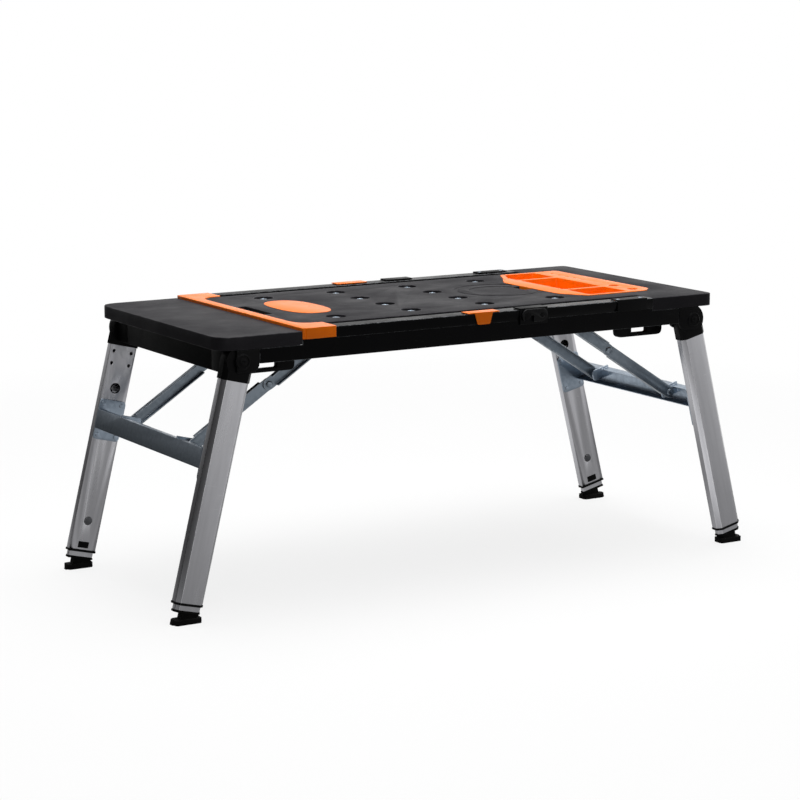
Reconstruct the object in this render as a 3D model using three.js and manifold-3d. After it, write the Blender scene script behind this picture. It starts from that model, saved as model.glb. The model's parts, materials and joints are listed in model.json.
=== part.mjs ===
// Folding workbench: a long work deck on two pairs of splayed telescopic legs that fold flat under it.
// X runs along the deck, Y across it and Z up. The origin is on the floor, under the deck's middle.
import * as THREE from "three";
import { mergeVertices } from "three/addons/utils/BufferGeometryUtils.js";
import Module from "manifold-3d";

const wasm = await Module();
wasm.setup();

// Driving dimensions, in millimetres

// Deck
const DECK_LENGTH = 1120;
const DECK_WIDTH = 535;
const BENCH_HEIGHT = 530;
const LEFT_CORNER_RADIUS = 38;
const RIGHT_CORNER_RADIUS = 16;
const PANEL_THICKNESS = 11;
const PAN_THICKNESS = 3.5;
const RIB_DEPTH = 16;
const RIB_WALL = 4;
const RIB_PITCH = 118;
const RIB_LINE = 75;
const RIB_END_INSET = 131;
const RIM_HEIGHT = 25;
const RIM_WALL = 3;
const LEFT_CAP_LENGTH = 172;
const LEFT_CAP_THICKNESS = 7;
const LEFT_CAP_HEIGHT = 25;
const RIGHT_END_LENGTH = 150;

// Rails
const RAIL_HEIGHT = 57;
const RAIL_WALL = 3;
const RAIL_TOP_WIDTH = 34;
const RAIL_TOP_THICKNESS = 5;
const RAIL_BAND = 20;
const RAIL_BAND_STEP = 0.8;
const TRENCH_WIDTH = 21;

// Trim, tabs, clips and badge
const TRIM_BAR_WIDTH = 22;
const TRIM_THICKNESS = 12.5;
const TRIM_ARM_LENGTH = 48;
const TRIM_CORNER_RADIUS = 40;
const TRIM_BLOCK_LENGTH = 63;
const TRIM_BLOCK_INSET = 0.5;
const PROUD_STEP = 2;
const TAB_TOP_LENGTH = 72;
const TAB_FACE_TOP = 42;
const TAB_FACE_BOTTOM = 28;
const TAB_SHIFT = 7;
const TAB_DROP = 22;
const TAB_REACH = 26;
const TAB_ROUND = 3;
const CLIP_LENGTH = 72;
const CLIP_TO_RAIL_END = 51.6;
const BADGE_LENGTH = 95;
const BADGE_WIDTH = 190;
const BADGE_TO_TRIM = 109.7;
const BADGE_THICKNESS = 1.8;
const BADGE_SINK = 1.2;
const OVAL_POWER = 2.5;

// Panel recesses, hand slot and ring
const RECESS_DIAMETER = 40;
const RECESS_DEPTH = 5.4;
const RECESS_NEAR_X = 85;
const RECESS_TO_TRAY = 33;
const RECESS_NEAR_Y = 50;
const RECESS_FAR_Y = 150;
const SLOT_LENGTH = 120;
const SLOT_WIDTH = 20;
const SLOT_EDGE = 6;
const RING_TO_TRAY = 73;
const RING_RADIUS = 92;
const RING_WIDTH = 9;
const RING_DISC_RADIUS = 60;
const RING_DEPTH = 0.8;

// Tool tray
const TRAY_LENGTH = 205;
const TRAY_END_INSET = 70;
const TRAY_FRONT_INSET = 99.5;
const TRAY_BACK_INSET = 69.5;
const TRAY_SHOULDER = 36;
const TRAY_NOSE_HALF = 100;
const TRAY_CORNER = 25;
const TRAY_ROUND = 8;
const TRAY_DEPTH = 27;
const TRAY_PROUD = 1;
const TRAY_LEDGE = 7;
const TRAY_WALL = 3;
const TRAY_DIVIDER = 11;
const TRAY_FLOOR = 2.5;
const TRAY_STRIP = 58;
const POCKET_DIAMETER = 22;
const POCKET_PITCH = 66;
const POCKET_DEPTH = 18;
const DRILL_DIAMETER = 7;
const DRILL_COUNT = 5;
const NOTCH_LENGTH = 50;
const NOTCH_REACH = 20;

// Side latch
const LATCH_CENTRE_X = 122;
const LATCH_SPREAD = 34;
const LATCH_PLATE = 2.4;
const LATCH_PLATE_LENGTH = 64;
const LATCH_PLATE_HEIGHT = 32;
const LATCH_STUD = 14;
const LATCH_PIVOT = 9;
const LATCH_LEVER = 26;
const LATCH_LEVER_THICKNESS = 4;
const LATCH_DROP = 12;

// Legs
const LEG_SPLAY_DEG = 14;
const PIVOT_INSET = 48;
const PIVOT_DROP = 51;
const LEG_WIDTH = 57;
const LEG_DEPTH = 23;
const LEG_CHAMFER = 8;
const LEG_WALL = 2;
const SLEEVE_WALL = 1.5;
const SLEEVE_LENGTH = 38;
const SLEEVE_SOCKET = 24;
const PIN_DIAMETER = 12;
const PIN_CAP_DIAMETER = 30;
const PIN_CAP_PROUD = 1.5;
const CHEEK_OUTER = 2;
const CHEEK_INNER = 6;
const HOUSING_REACH = 35;
const HOUSING_DROP = 20;
const HOUSING_ROUND = 18;
const HOUSING_EDGE = 4;
const HOUSING_OVERHANG = 12;
const APRON_WIDTH = 372;
const APRON_THICKNESS = 4;
const APRON_INSET = 24;
const APRON_HEIGHT = 60;

// Telescopic leg, foot and button
const TUBE_TO_FLOOR = 36;
const INNER_WALL = 1.8;
const HEIGHT_STEP = 50;
const HEIGHT_STEPS = 5;
const BUTTON_TO_TUBE_END = 62;
const BUTTON_DIAMETER = 16;
const BUTTON_PROUD = 1.6;
const WINDOW_WIDTH = 22;
const WINDOW_HEIGHT = 12;
const WINDOW_TO_TUBE_END = 13;
const UPPER_HOLE_DIAMETER = 18;
const UPPER_HOLE_DROP = 124;
const RIVET_HOLE = 6.5;
const RIVET_SPREAD = 38;
const RIVET_FIRST_DROP = 50;
const RIVET_PITCH = 25;
const FOOT_LENGTH = 54;
const FOOT_DEPTH = 28;
const FOOT_ROUND = 8;
const FOOT_PAD = 10;
const FOOT_SHIFT = 5;
const FOOT_FLANGE = 4;
const FOOT_FLANGE_LIP = 1;
const FOOT_NECK = 15;
const FOOT_NOTCH = 16;
const FOOT_PLUG = 30;

// Crossbar
const BAR_DROP = 189;
const BAR_HEIGHT = 38;
const BAR_FLANGE = 18;
const BAR_SHEET = 2;
const EAR_HEIGHT = 82;
const EAR_SHEET = 2.5;
const EAR_ROUND = 8;
const RIVET_HEAD = 9;
const RIVET_RISE = 1.6;
const RIVET_EDGE = 9;

// Stays
const STAY_SPACING = 276;
const STAY_WIDTH = 24;
const STAY_SHEET = 2.4;
const STAY_FLANGE = 11;
const STAY_FOOT_DROP = 177;
const STAY_FOOT_INSET = 3;
const STAY_ANCHOR_INSET = 232;
const STAY_PIN = 8;
const STAY_RIVET = 12;
const STAY_LUG = 3;
const BEAM_HEIGHT = 10;
const BEAM_WIDTH = 30;

// Grab loops under the deck
const LOOP_END_INSET = 134;
const LOOP_LENGTH = 113;
const LOOP_REACH = 30;
const LOOP_WIDTH = 14;
const LOOP_DROP = 71;
const LOOP_BAR = 7;
const LOOP_WINDOW = 40;
const LOOP_ROUND = 12;
const LOOP_FOOT = 12;
const LOOP_WEB = 8;

// Clearances
const SEAT_GAP = 0.4;
const SIDE_CLEARANCE = 0.6;
const SLIDE_CLEARANCE = 0.6;
const PIN_CLEARANCE = 0.4;
const SWING_CLEARANCE = 1;
const TRAY_CLEARANCE = 0.8;

// How far a cutting solid runs past what it cuts, and a joined one into its neighbour
const OVERRUN = 1;

// Facets on round features
const ROUND = 18;
const SMALL_ROUND = 10;
const FILLET_STEPS = 4;
const OVAL_STEPS = 40;

// Derived places
const halfLength = DECK_LENGTH / 2;
const halfWidth = DECK_WIDTH / 2;
const splay = THREE.MathUtils.degToRad(LEG_SPLAY_DEG);
const panelBottom = BENCH_HEIGHT - PANEL_THICKNESS;
const panTop = panelBottom - SEAT_GAP;
const panBottom = panTop - PAN_THICKNESS;
const underPan = panBottom - SEAT_GAP;
const rimBottom = BENCH_HEIGHT - RIM_HEIGHT;
const capTop = panelBottom + LEFT_CAP_THICKNESS;
const capBottom = capTop - LEFT_CAP_HEIGHT;
const railBottom = BENCH_HEIGHT - RAIL_HEIGHT;
const bandBottom = BENCH_HEIGHT - RAIL_BAND;
const panelHalf = halfWidth - RAIL_TOP_WIDTH - TRENCH_WIDTH;
const capEdgeX = -halfLength + LEFT_CAP_LENGTH;
const trimLeftX = capEdgeX + SEAT_GAP;
const panelLeftX = trimLeftX + TRIM_BAR_WIDTH + SEAT_GAP;
const trimRightX = panelLeftX + TRIM_ARM_LENGTH;
const railLeftX = trimRightX + SEAT_GAP;
const rightEndX = halfLength - RIGHT_END_LENGTH;
const railRightX = rightEndX - SEAT_GAP;
const pivotX = halfLength - PIVOT_INSET;
const pivotZ = BENCH_HEIGHT - PIVOT_DROP;
const housingInnerX = pivotX - HOUSING_REACH;
const railInnerY = halfWidth - Math.max(RIM_WALL, RAIL_WALL);
const cheekOuterY = railInnerY - SEAT_GAP;
const slotOuterY = cheekOuterY - CHEEK_OUTER;
const sleeveDepth = LEG_DEPTH + 2 * SLEEVE_WALL;
const legY = slotOuterY - SIDE_CLEARANCE - sleeveDepth / 2;
const slotInnerY = legY - sleeveDepth / 2 - SIDE_CLEARANCE;
const cheekInnerY = slotInnerY - CHEEK_INNER;
const ribHalf = cheekInnerY - SWING_CLEARANCE;
const loopFootY = ribHalf - RIB_WALL - SEAT_GAP;
const legReach = pivotZ / Math.cos(splay);
const tubeEnd = legReach - TUBE_TO_FLOOR;
const tubeStart = SLEEVE_LENGTH - SLEEVE_SOCKET + SEAT_GAP;
const flangeStart = legReach - FOOT_PAD - FOOT_NECK - FOOT_FLANGE + FOOT_PAD / 2;
const buttonDrop = tubeEnd - BUTTON_TO_TUBE_END;
const travel = HEIGHT_STEP * HEIGHT_STEPS;
const innerStart = buttonDrop - travel - BUTTON_DIAMETER;
const trayRightX = halfLength - TRAY_END_INSET;
const trayLeftX = trayRightX - TRAY_LENGTH;
const trayFrontY = TRAY_FRONT_INSET - halfWidth;
const trayBackY = halfWidth - TRAY_BACK_INSET;
const trayTop = BENCH_HEIGHT + TRAY_PROUD;
const recessFarX = trayLeftX - RECESS_TO_TRAY;
const ringX = trayLeftX - RING_TO_TRAY;
const badgeX = panelLeftX + BADGE_TO_TRIM;
const clipX = railRightX - CLIP_TO_RAIL_END;
const loopX = halfLength - LOOP_END_INSET;
const loopY = loopFootY - LOOP_REACH;
const anchorX = pivotX - STAY_ANCHOR_INSET;
const trayBottom = trayTop - TRAY_DEPTH;

// Finishes
const charcoal = finish(0x3a3b3f, 0.62, 0);
const black = finish(0x17181a, 0.55, 0);
const orange = finish(0xf26a30, 0.5, 0);
const aluminium = finish(0xb4b5b6, 0.38, 0.9);
const blackMetal = finish(0x1b1c1f, 0.4, 0.5);
const galvanised = finish(0xa7b2ba, 0.35, 0.9);
const rubber = finish(0x121212, 0.85, 0);

// A plain surface finish.
function finish(color, roughness, metalness) {
  return new THREE.MeshStandardMaterial({ color, roughness, metalness });
}

// A closed geometry as a solid that can be joined and cut.
function solid(geometry) {
  const bare = new THREE.BufferGeometry();
  bare.setAttribute("position", geometry.getAttribute("position"));
  bare.setIndex(geometry.getIndex());
  const merged = mergeVertices(bare, 1e-4);
  const vertProperties = new Float32Array(merged.getAttribute("position").array);
  const triVerts = new Uint32Array(merged.getIndex().array);
  return new wasm.Manifold(new wasm.Mesh({ numProp: 3, vertProperties, triVerts }));
}

// A solid as a geometry with flat faces.
function geometryOf(made) {
  const mesh = made.getMesh();
  const geometry = new THREE.BufferGeometry();
  geometry.setAttribute("position", new THREE.BufferAttribute(mesh.vertProperties, 3));
  geometry.setIndex(new THREE.BufferAttribute(mesh.triVerts, 1));
  const flat = geometry.toNonIndexed();
  flat.computeVertexNormals();
  return flat;
}

// A named piece in a group.
function piece(group, name, made, material) {
  const mesh = new THREE.Mesh(geometryOf(made), material);
  mesh.name = name;
  group.add(mesh);
}

// Several solids joined into one.
function joined(...solids) {
  return solids.reduce((whole, next) => whole.add(next));
}

// A solid with others cut out of it.
function cut(body, ...tools) {
  return tools.reduce((left, tool) => left.subtract(tool), body);
}

// Two places in rising order.
function span(a, b) {
  return [Math.min(a, b), Math.max(a, b)];
}

// A box between two corners.
function box(x0, x1, y0, y1, z0, z1) {
  const geometry = new THREE.BoxGeometry(x1 - x0, y1 - y0, z1 - z0);
  geometry.translate((x0 + x1) / 2, (y0 + y1) / 2, (z0 + z1) / 2);
  return solid(geometry);
}

// An outline in XY carried up from z0 to z1.
function prism(shape, z0, z1) {
  const settings = { depth: z1 - z0, bevelEnabled: false, curveSegments: FILLET_STEPS };
  const geometry = new THREE.ExtrudeGeometry(shape, settings);
  geometry.translate(0, 0, z0);
  return solid(geometry);
}

// An outline in XZ carried across from y0 to y1.
function crossPrism(shape, y0, y1) {
  const settings = { depth: y1 - y0, bevelEnabled: false, curveSegments: FILLET_STEPS };
  const geometry = new THREE.ExtrudeGeometry(shape, settings);
  geometry.rotateX(Math.PI / 2);
  geometry.translate(0, y1, 0);
  return solid(geometry);
}

// An upright cylinder.
function post(x, y, diameter, z0, z1, facets = ROUND) {
  const geometry = new THREE.CylinderGeometry(diameter / 2, diameter / 2, z1 - z0, facets);
  geometry.rotateX(Math.PI / 2);
  geometry.translate(x, y, (z0 + z1) / 2);
  return solid(geometry);
}

// A cylinder lying along Y.
function axle(x, z, diameter, y0, y1, facets = ROUND) {
  const geometry = new THREE.CylinderGeometry(diameter / 2, diameter / 2, y1 - y0, facets);
  geometry.translate(x, (y0 + y1) / 2, z);
  return solid(geometry);
}

// A straight-edged outline whose corners are rounded by the third number of each point.
function outline(points) {
  const corners = points.map(([x, y, r = 0]) => ({ at: new THREE.Vector2(x, y), r }));
  const shape = new THREE.Shape();
  corners.forEach(({ at, r }, i) => {
    const before = corners.at(i - 1).at;
    const after = corners[(i + 1) % corners.length].at;
    const start = at.clone().add(before.clone().sub(at).setLength(r));
    const end = at.clone().add(after.clone().sub(at).setLength(r));
    if (i === 0) shape.moveTo(start.x, start.y);
    else shape.lineTo(start.x, start.y);
    if (r > 0) shape.quadraticCurveTo(at.x, at.y, end.x, end.y);
  });
  shape.closePath();
  return shape;
}

// A straight-edged outline moved outwards by a distance, corner by corner.
function offset(points, distance) {
  const at = points.map(([x, y]) => new THREE.Vector2(x, y));
  return points.map(([, , r = 0], i) => {
    const before = at.at(i - 1);
    const here = at[i];
    const after = at[(i + 1) % at.length];
    const into = here.clone().sub(before).normalize();
    const out = after.clone().sub(here).normalize();
    const spread = distance / (1 + into.dot(out));
    const x = here.x + (into.y + out.y) * spread;
    const y = here.y - (into.x + out.x) * spread;
    const turn = into.cross(out) / (1 + into.dot(out));
    return [x, y, r > 0 ? Math.max(r + distance * turn, 0) : 0];
  });
}

// The corners of a rectangle, with a rounding for the two low-X and the two high-X corners.
function rectangle(x0, x1, y0, y1, lowRound = 0, highRound = lowRound) {
  return [
    [x0, y0, lowRound],
    [x1, y0, highRound],
    [x1, y1, highRound],
    [x0, y1, lowRound],
  ];
}

// A straight link with round ends between two points in XZ.
function link(from, to, width, y0, y1) {
  const along = to.clone().sub(from).normalize();
  const angle = along.angle();
  const shape = new THREE.Shape();
  shape.absarc(to.x, to.y, width / 2, angle - Math.PI / 2, angle + Math.PI / 2, false);
  shape.absarc(from.x, from.y, width / 2, angle + Math.PI / 2, angle + 1.5 * Math.PI, false);
  shape.closePath();
  return crossPrism(shape, y0, y1);
}

// Top panel, pan and tray

const rightEndPoints = [
  [rightEndX, -halfWidth],
  [halfLength, -halfWidth, RIGHT_CORNER_RADIUS],
  [halfLength, halfWidth, RIGHT_CORNER_RADIUS],
  [rightEndX, halfWidth],
];
const panelPoints = rectangle(panelLeftX, rightEndX + RIM_WALL, -panelHalf, panelHalf, TRIM_CORNER_RADIUS, 0);
const trayMiddleY = (trayFrontY + trayBackY) / 2;
const trayPoints = [
  [trayLeftX + TRAY_SHOULDER, trayFrontY, TRAY_ROUND],
  [trayRightX - TRAY_CORNER, trayFrontY, TRAY_ROUND],
  [trayRightX, trayFrontY + TRAY_CORNER, TRAY_ROUND],
  [trayRightX, trayBackY, TRAY_ROUND],
  [trayLeftX + TRAY_SHOULDER + TRAY_CORNER, trayBackY, TRAY_ROUND],
  [trayLeftX + TRAY_SHOULDER, trayBackY - 2 * TRAY_CORNER, TRAY_ROUND],
  [trayLeftX, trayMiddleY + TRAY_NOSE_HALF - TRAY_CORNER, TRAY_ROUND],
  [trayLeftX, trayMiddleY - TRAY_NOSE_HALF - TRAY_CORNER, TRAY_ROUND],
];
const trayBodyPoints = offset(trayPoints.slice(0, 6), -TRAY_LEDGE);

// The dark hand-hold slot beside the trim, as a tool that cuts panel and pan alike.
function handSlot() {
  const x0 = panelLeftX + SLOT_EDGE;
  const points = rectangle(x0, x0 + SLOT_WIDTH, -SLOT_LENGTH / 2, SLOT_LENGTH / 2, SLOT_WIDTH / 3);
  return prism(outline(points), panBottom - RIB_DEPTH, BENCH_HEIGHT + OVERRUN);
}

// The shallow double ring pressed into the panel, as a tool.
function ringTool() {
  const low = BENCH_HEIGHT - RING_DEPTH;
  const high = BENCH_HEIGHT + OVERRUN;
  const disc = (radius) => post(ringX, 0, 2 * radius, low, high, 2 * ROUND);
  return cut(disc(RING_RADIUS), disc(RING_RADIUS - RING_WIDTH)).add(disc(RING_DISC_RADIUS));
}

// The places of the twelve counterbores of the panel screws.
function recessPlaces() {
  const places = [];
  for (const sx of [-1, 1]) {
    for (const sy of [-1, 1]) {
      places.push([sx * RECESS_NEAR_X, sy * RECESS_NEAR_Y]);
      places.push([sx * RECESS_NEAR_X, sy * RECESS_FAR_Y]);
      places.push([sx * recessFarX, sy * RECESS_FAR_Y]);
    }
  }
  return places;
}

// The low wall that hangs from the edge of an end moulding.
function rim(points, bottom, top) {
  return cut(
    prism(outline(points), bottom, top),
    prism(outline(offset(points, -RIM_WALL)), bottom - OVERRUN, top + OVERRUN),
  );
}

// An oval with full shoulders, as a closed outline.
function oval(centreX, length, width) {
  const bulge = (value) => Math.sign(value) * Math.abs(value) ** (2 / OVAL_POWER);
  const points = Array.from({ length: OVAL_STEPS }, (_, i) => {
    const angle = (2 * Math.PI * i) / OVAL_STEPS;
    const x = centreX + (length / 2) * bulge(Math.cos(angle));
    return new THREE.Vector2(x, (width / 2) * bulge(Math.sin(angle)));
  });
  return new THREE.Shape(points);
}

// An oval carried up from z0 to z1.
function ovalPrism(length, width, z0, z1) {
  const settings = { depth: z1 - z0, bevelEnabled: false };
  const geometry = new THREE.ExtrudeGeometry(oval(badgeX, length, width), settings);
  geometry.translate(0, 0, z0);
  return solid(geometry);
}

function deckPanel() {
  const top = joined(
    prism(outline(panelPoints), panelBottom, BENCH_HEIGHT),
    prism(outline(rightEndPoints), panelBottom, BENCH_HEIGHT),
    rim(rightEndPoints, rimBottom, BENCH_HEIGHT),
  );
  const through = [panelBottom - OVERRUN, BENCH_HEIGHT + OVERRUN];
  const openX = [rightEndX - OVERRUN, rightEndX + RIM_WALL];
  const openSide = box(...openX, -railInnerY, railInnerY, rimBottom - OVERRUN, panelBottom);
  const trayHole = prism(outline(offset(trayPoints, TRAY_CLEARANCE)), ...through);
  const notchY = trayMiddleY - TRAY_CORNER / 2;
  const notch = rectangle(
    trayLeftX - NOTCH_REACH,
    trayLeftX + TRAY_CORNER,
    notchY - NOTCH_LENGTH / 2,
    notchY + NOTCH_LENGTH / 2,
    NOTCH_REACH / 2,
    0,
  );
  const badgeSeat = ovalPrism(
    BADGE_LENGTH + 2 * SEAT_GAP,
    BADGE_WIDTH + 2 * SEAT_GAP,
    BENCH_HEIGHT - BADGE_SINK - SEAT_GAP,
    BENCH_HEIGHT + OVERRUN,
  );
  const recess = [BENCH_HEIGHT - RECESS_DEPTH, BENCH_HEIGHT + OVERRUN];
  const recesses = recessPlaces().map(([x, y]) => post(x, y, RECESS_DIAMETER, ...recess));
  return cut(
    top,
    openSide,
    ringTool(),
    trayHole,
    prism(outline(notch), ...through),
    badgeSeat,
    handSlot(),
    ...recesses,
  );
}

function deckPan() {
  const inset = Math.max(RIM_WALL, RAIL_WALL) + SEAT_GAP;
  const rounds = [LEFT_CORNER_RADIUS, RIGHT_CORNER_RADIUS];
  const edge = rectangle(-halfLength, halfLength, -halfWidth, halfWidth, ...rounds);
  const plate = prism(outline(offset(edge, -inset)), panBottom, panTop);
  const ribEndX = halfLength - RIB_END_INSET;
  const ribs = [];
  for (const y of [-ribHalf + RIB_WALL / 2, -RIB_LINE, RIB_LINE, ribHalf - RIB_WALL / 2]) {
    ribs.push(box(-ribEndX, ribEndX, y - RIB_WALL / 2, y + RIB_WALL / 2, panBottom - RIB_DEPTH, panTop));
  }
  const ribCount = Math.floor(ribEndX / RIB_PITCH);
  for (let i = -ribCount; i <= ribCount; i += 1) {
    const x = i * RIB_PITCH;
    ribs.push(box(x - RIB_WALL / 2, x + RIB_WALL / 2, -ribHalf, ribHalf, panBottom - RIB_DEPTH, panTop));
  }
  const low = panBottom - RIB_DEPTH - OVERRUN;
  const tools = [prism(outline(offset(trayBodyPoints, TRAY_CLEARANCE)), low, panTop + OVERRUN), handSlot()];
  for (const sx of [-1, 1]) {
    const beamX = sx * anchorX;
    const beamY = beamHalfY() + SEAT_GAP;
    const beamHalf = BEAM_WIDTH / 2 + SEAT_GAP;
    tools.push(box(beamX - beamHalf, beamX + beamHalf, -beamY, beamY, low, panBottom));
    for (const sy of [-1, 1]) {
      const footX = sx * loopX;
      const loopHalf = LOOP_LENGTH / 2 + SEAT_GAP;
      const footY = span(sy * (loopY - LOOP_WIDTH / 2), sy * (loopFootY + SEAT_GAP));
      tools.push(box(footX - loopHalf, footX + loopHalf, ...footY, low, panBottom));
    }
  }
  return cut(joined(plate, ...ribs), ...tools);
}

function leftCap() {
  const points = [
    [-halfLength, -halfWidth, LEFT_CORNER_RADIUS],
    [capEdgeX, -halfWidth],
    [capEdgeX, halfWidth],
    [-halfLength, halfWidth, LEFT_CORNER_RADIUS],
  ];
  const shell = joined(prism(outline(points), panelBottom, capTop), rim(points, capBottom, capTop));
  const openX = [capEdgeX - RIM_WALL, capEdgeX + OVERRUN];
  const openSide = box(...openX, -railInnerY, railInnerY, capBottom - OVERRUN, panelBottom);
  return cut(shell, openSide);
}

// The U-shaped trim that crosses the deck and wraps down over both rails.
function trimBar() {
  const top = panelBottom + TRIM_THICKNESS;
  const plate = cut(
    box(trimLeftX, trimRightX, -halfWidth, halfWidth, panelBottom, top),
    prism(outline(offset(panelPoints, SEAT_GAP)), panelBottom - OVERRUN, top + OVERRUN),
  );
  const walls = [-1, 1].flatMap((sy) => {
    const wallY = span(sy * railInnerY, sy * halfWidth);
    const blockY = span(sy * railInnerY, sy * (halfWidth + PROUD_STEP));
    const blockRight = trimRightX - TRIM_BLOCK_INSET;
    const wallBottom = bandBottom + SEAT_GAP;
    return [
      box(trimLeftX, trimRightX, ...wallY, wallBottom, top),
      box(blockRight - TRIM_BLOCK_LENGTH, blockRight, ...blockY, wallBottom, top),
    ];
  });
  return joined(plate, ...walls);
}

// The bare oval badge in its seat.
function badge() {
  const low = BENCH_HEIGHT - BADGE_SINK;
  return ovalPrism(BADGE_LENGTH, BADGE_WIDTH, low, low + BADGE_THICKNESS);
}

function toolTray() {
  const ledge = panelBottom;
  const cellLeft = trayLeftX + TRAY_SHOULDER + TRAY_LEDGE + TRAY_WALL;
  const cellRight = trayRightX - TRAY_LEDGE - TRAY_STRIP;
  const front = trayFrontY + TRAY_LEDGE + TRAY_WALL;
  const back = trayBackY - TRAY_LEDGE - TRAY_WALL;
  const room = (back - front - 2 * TRAY_DIVIDER) / 4;
  const hollow = [trayBottom + TRAY_FLOOR, trayTop + OVERRUN];
  const inside = prism(outline(offset(trayBodyPoints, -TRAY_WALL)), ...hollow);
  const cells = [
    [front, front + room],
    [front + room + TRAY_DIVIDER, front + 3 * room + TRAY_DIVIDER],
    [back - room, back],
  ].map(([y0, y1]) => {
    const cell = outline(rectangle(cellLeft, cellRight, y0, y1, 2 * TRAY_WALL));
    return prism(cell, ...hollow).intersect(inside);
  });
  const stripX = cellRight + TRAY_STRIP / 2;
  const pocketFloor = trayTop - POCKET_DEPTH;
  const deep = [pocketFloor, trayTop + OVERRUN];
  const pockets = [0, 1].map((i) =>
    post(stripX, front + POCKET_DIAMETER + i * POCKET_PITCH, POCKET_DIAMETER, ...deep),
  );
  const drillPitch = (back - trayMiddleY) / (DRILL_COUNT + 1);
  const drills = Array.from({ length: DRILL_COUNT }, (_, i) =>
    post(stripX, trayMiddleY + (i + 1) * drillPitch, DRILL_DIAMETER, ...deep, SMALL_ROUND),
  );
  const body = joined(
    prism(outline(trayPoints), ledge, trayTop),
    prism(outline(trayBodyPoints), trayBottom, ledge + OVERRUN),
  );
  return cut(
    body,
    ...cells,
    ...pockets,
    ...drills,
  );
}

// Side pieces, made for the back and mirrored for the front

// The folded rail: a top flange beside the trench and an outer wall with a proud upper band.
function sideRail() {
  const lowY = halfWidth - RAIL_BAND_STEP;
  const leftTop = capBottom - SEAT_GAP;
  const rightTop = rimBottom - SEAT_GAP;
  const end = housingInnerX - SEAT_GAP;
  const flangeBottom = BENCH_HEIGHT - RAIL_TOP_THICKNESS;
  return joined(
    box(-end, trimLeftX + OVERRUN, railInnerY, lowY, railBottom, leftTop),
    box(trimLeftX, end, railInnerY, lowY, railBottom, rightTop),
    box(trimLeftX, railRightX, railInnerY, lowY, rightTop - OVERRUN, bandBottom),
    box(railLeftX, railRightX, railInnerY, halfWidth, bandBottom - OVERRUN, BENCH_HEIGHT),
    box(railLeftX, railRightX, halfWidth - RAIL_TOP_WIDTH, halfWidth, flangeBottom, BENCH_HEIGHT),
  );
}

// The orange tab that marks the middle: a strip on the rail and a tapered face down its side.
function centreTab() {
  const top = BENCH_HEIGHT + SEAT_GAP;
  const faceY = halfWidth + SEAT_GAP;
  const face = outline([
    [TAB_SHIFT - TAB_FACE_TOP / 2, top + PROUD_STEP],
    [TAB_SHIFT - TAB_FACE_BOTTOM / 2, top - TAB_DROP, TAB_ROUND],
    [TAB_SHIFT + TAB_FACE_BOTTOM / 2, top - TAB_DROP, TAB_ROUND],
    [TAB_SHIFT + TAB_FACE_TOP / 2, top + PROUD_STEP],
  ]);
  const outerY = faceY + PROUD_STEP;
  const half = TAB_TOP_LENGTH / 2;
  const strip = box(TAB_SHIFT - half, TAB_SHIFT + half, outerY - TAB_REACH, outerY, top, top + PROUD_STEP);
  return strip.add(crossPrism(face, faceY, outerY));
}

// The black clip over the rail near the right end.
function railClip() {
  const top = BENCH_HEIGHT + SEAT_GAP;
  const faceY = halfWidth + SEAT_GAP;
  const x = [clipX - CLIP_LENGTH / 2, clipX + CLIP_LENGTH / 2];
  return joined(
    box(...x, faceY + PROUD_STEP - TAB_REACH, faceY + PROUD_STEP, top, top + PROUD_STEP),
    box(...x, faceY, faceY + PROUD_STEP, top - TAB_DROP, top + PROUD_STEP),
  );
}

const latchZ = BENCH_HEIGHT - LATCH_DROP;
const latchFaceY = halfWidth + SEAT_GAP;
const latchLeverY = latchFaceY + LATCH_PLATE + SIDE_CLEARANCE;
const latchStudX = LATCH_CENTRE_X - LATCH_SPREAD / 2;
const latchPivotX = LATCH_CENTRE_X + LATCH_SPREAD / 2;

// The latch's plate over the rail, with the keeper stud and the lever's pivot.
function latchBase() {
  const plateTop = BENCH_HEIGHT + SEAT_GAP + LATCH_PLATE;
  const outerY = latchFaceY + LATCH_PLATE;
  const x = [LATCH_CENTRE_X - LATCH_PLATE_LENGTH / 2, LATCH_CENTRE_X + LATCH_PLATE_LENGTH / 2];
  const studEnd = latchLeverY + LATCH_LEVER_THICKNESS;
  return joined(
    box(...x, outerY - TAB_REACH, outerY, plateTop - LATCH_PLATE, plateTop),
    box(...x, latchFaceY, outerY, plateTop - LATCH_PLATE_HEIGHT, plateTop),
    axle(latchStudX, latchZ, LATCH_STUD, latchFaceY, studEnd),
    axle(latchPivotX, latchZ, LATCH_PIVOT, latchFaceY, studEnd, SMALL_ROUND),
  );
}

// The lever that swings up off the keeper stud: round at its pivot, with a hook that is open below.
// The stud drifts towards the pivot as it leaves the hook, so the mouth is wider by that much.
function latchHook() {
  const ends = [latchPivotX, latchStudX].map((x) => new THREE.Vector2(x, latchZ));
  const y = [latchLeverY, latchLeverY + LATCH_LEVER_THICKNESS];
  const reach = LATCH_STUD / 2 + PIN_CLEARANCE;
  const through = [y[0] - OVERRUN, y[1] + OVERRUN];
  const leaving = Math.asin((LATCH_LEVER + LATCH_STUD) / (2 * LATCH_SPREAD));
  const drift = LATCH_SPREAD * (1 - Math.cos(leaving));
  const mouthX = [latchStudX - reach, latchStudX + reach + drift];
  const mouth = box(...mouthX, ...through, latchZ - LATCH_LEVER, latchZ);
  return cut(
    link(...ends, LATCH_LEVER, ...y),
    axle(latchPivotX, latchZ, LATCH_PIVOT + 2 * PIN_CLEARANCE, ...through, SMALL_ROUND),
    axle(latchStudX, latchZ, LATCH_STUD + 2 * PIN_CLEARANCE, ...through),
    mouth,
  );
}

// End and corner pieces, made for the right end and the back, and mirrored

function endApron() {
  const outer = halfLength - APRON_INSET;
  const half = APRON_WIDTH / 2;
  return box(outer - APRON_THICKNESS, outer, -half, half, underPan - APRON_HEIGHT, underPan);
}

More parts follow.
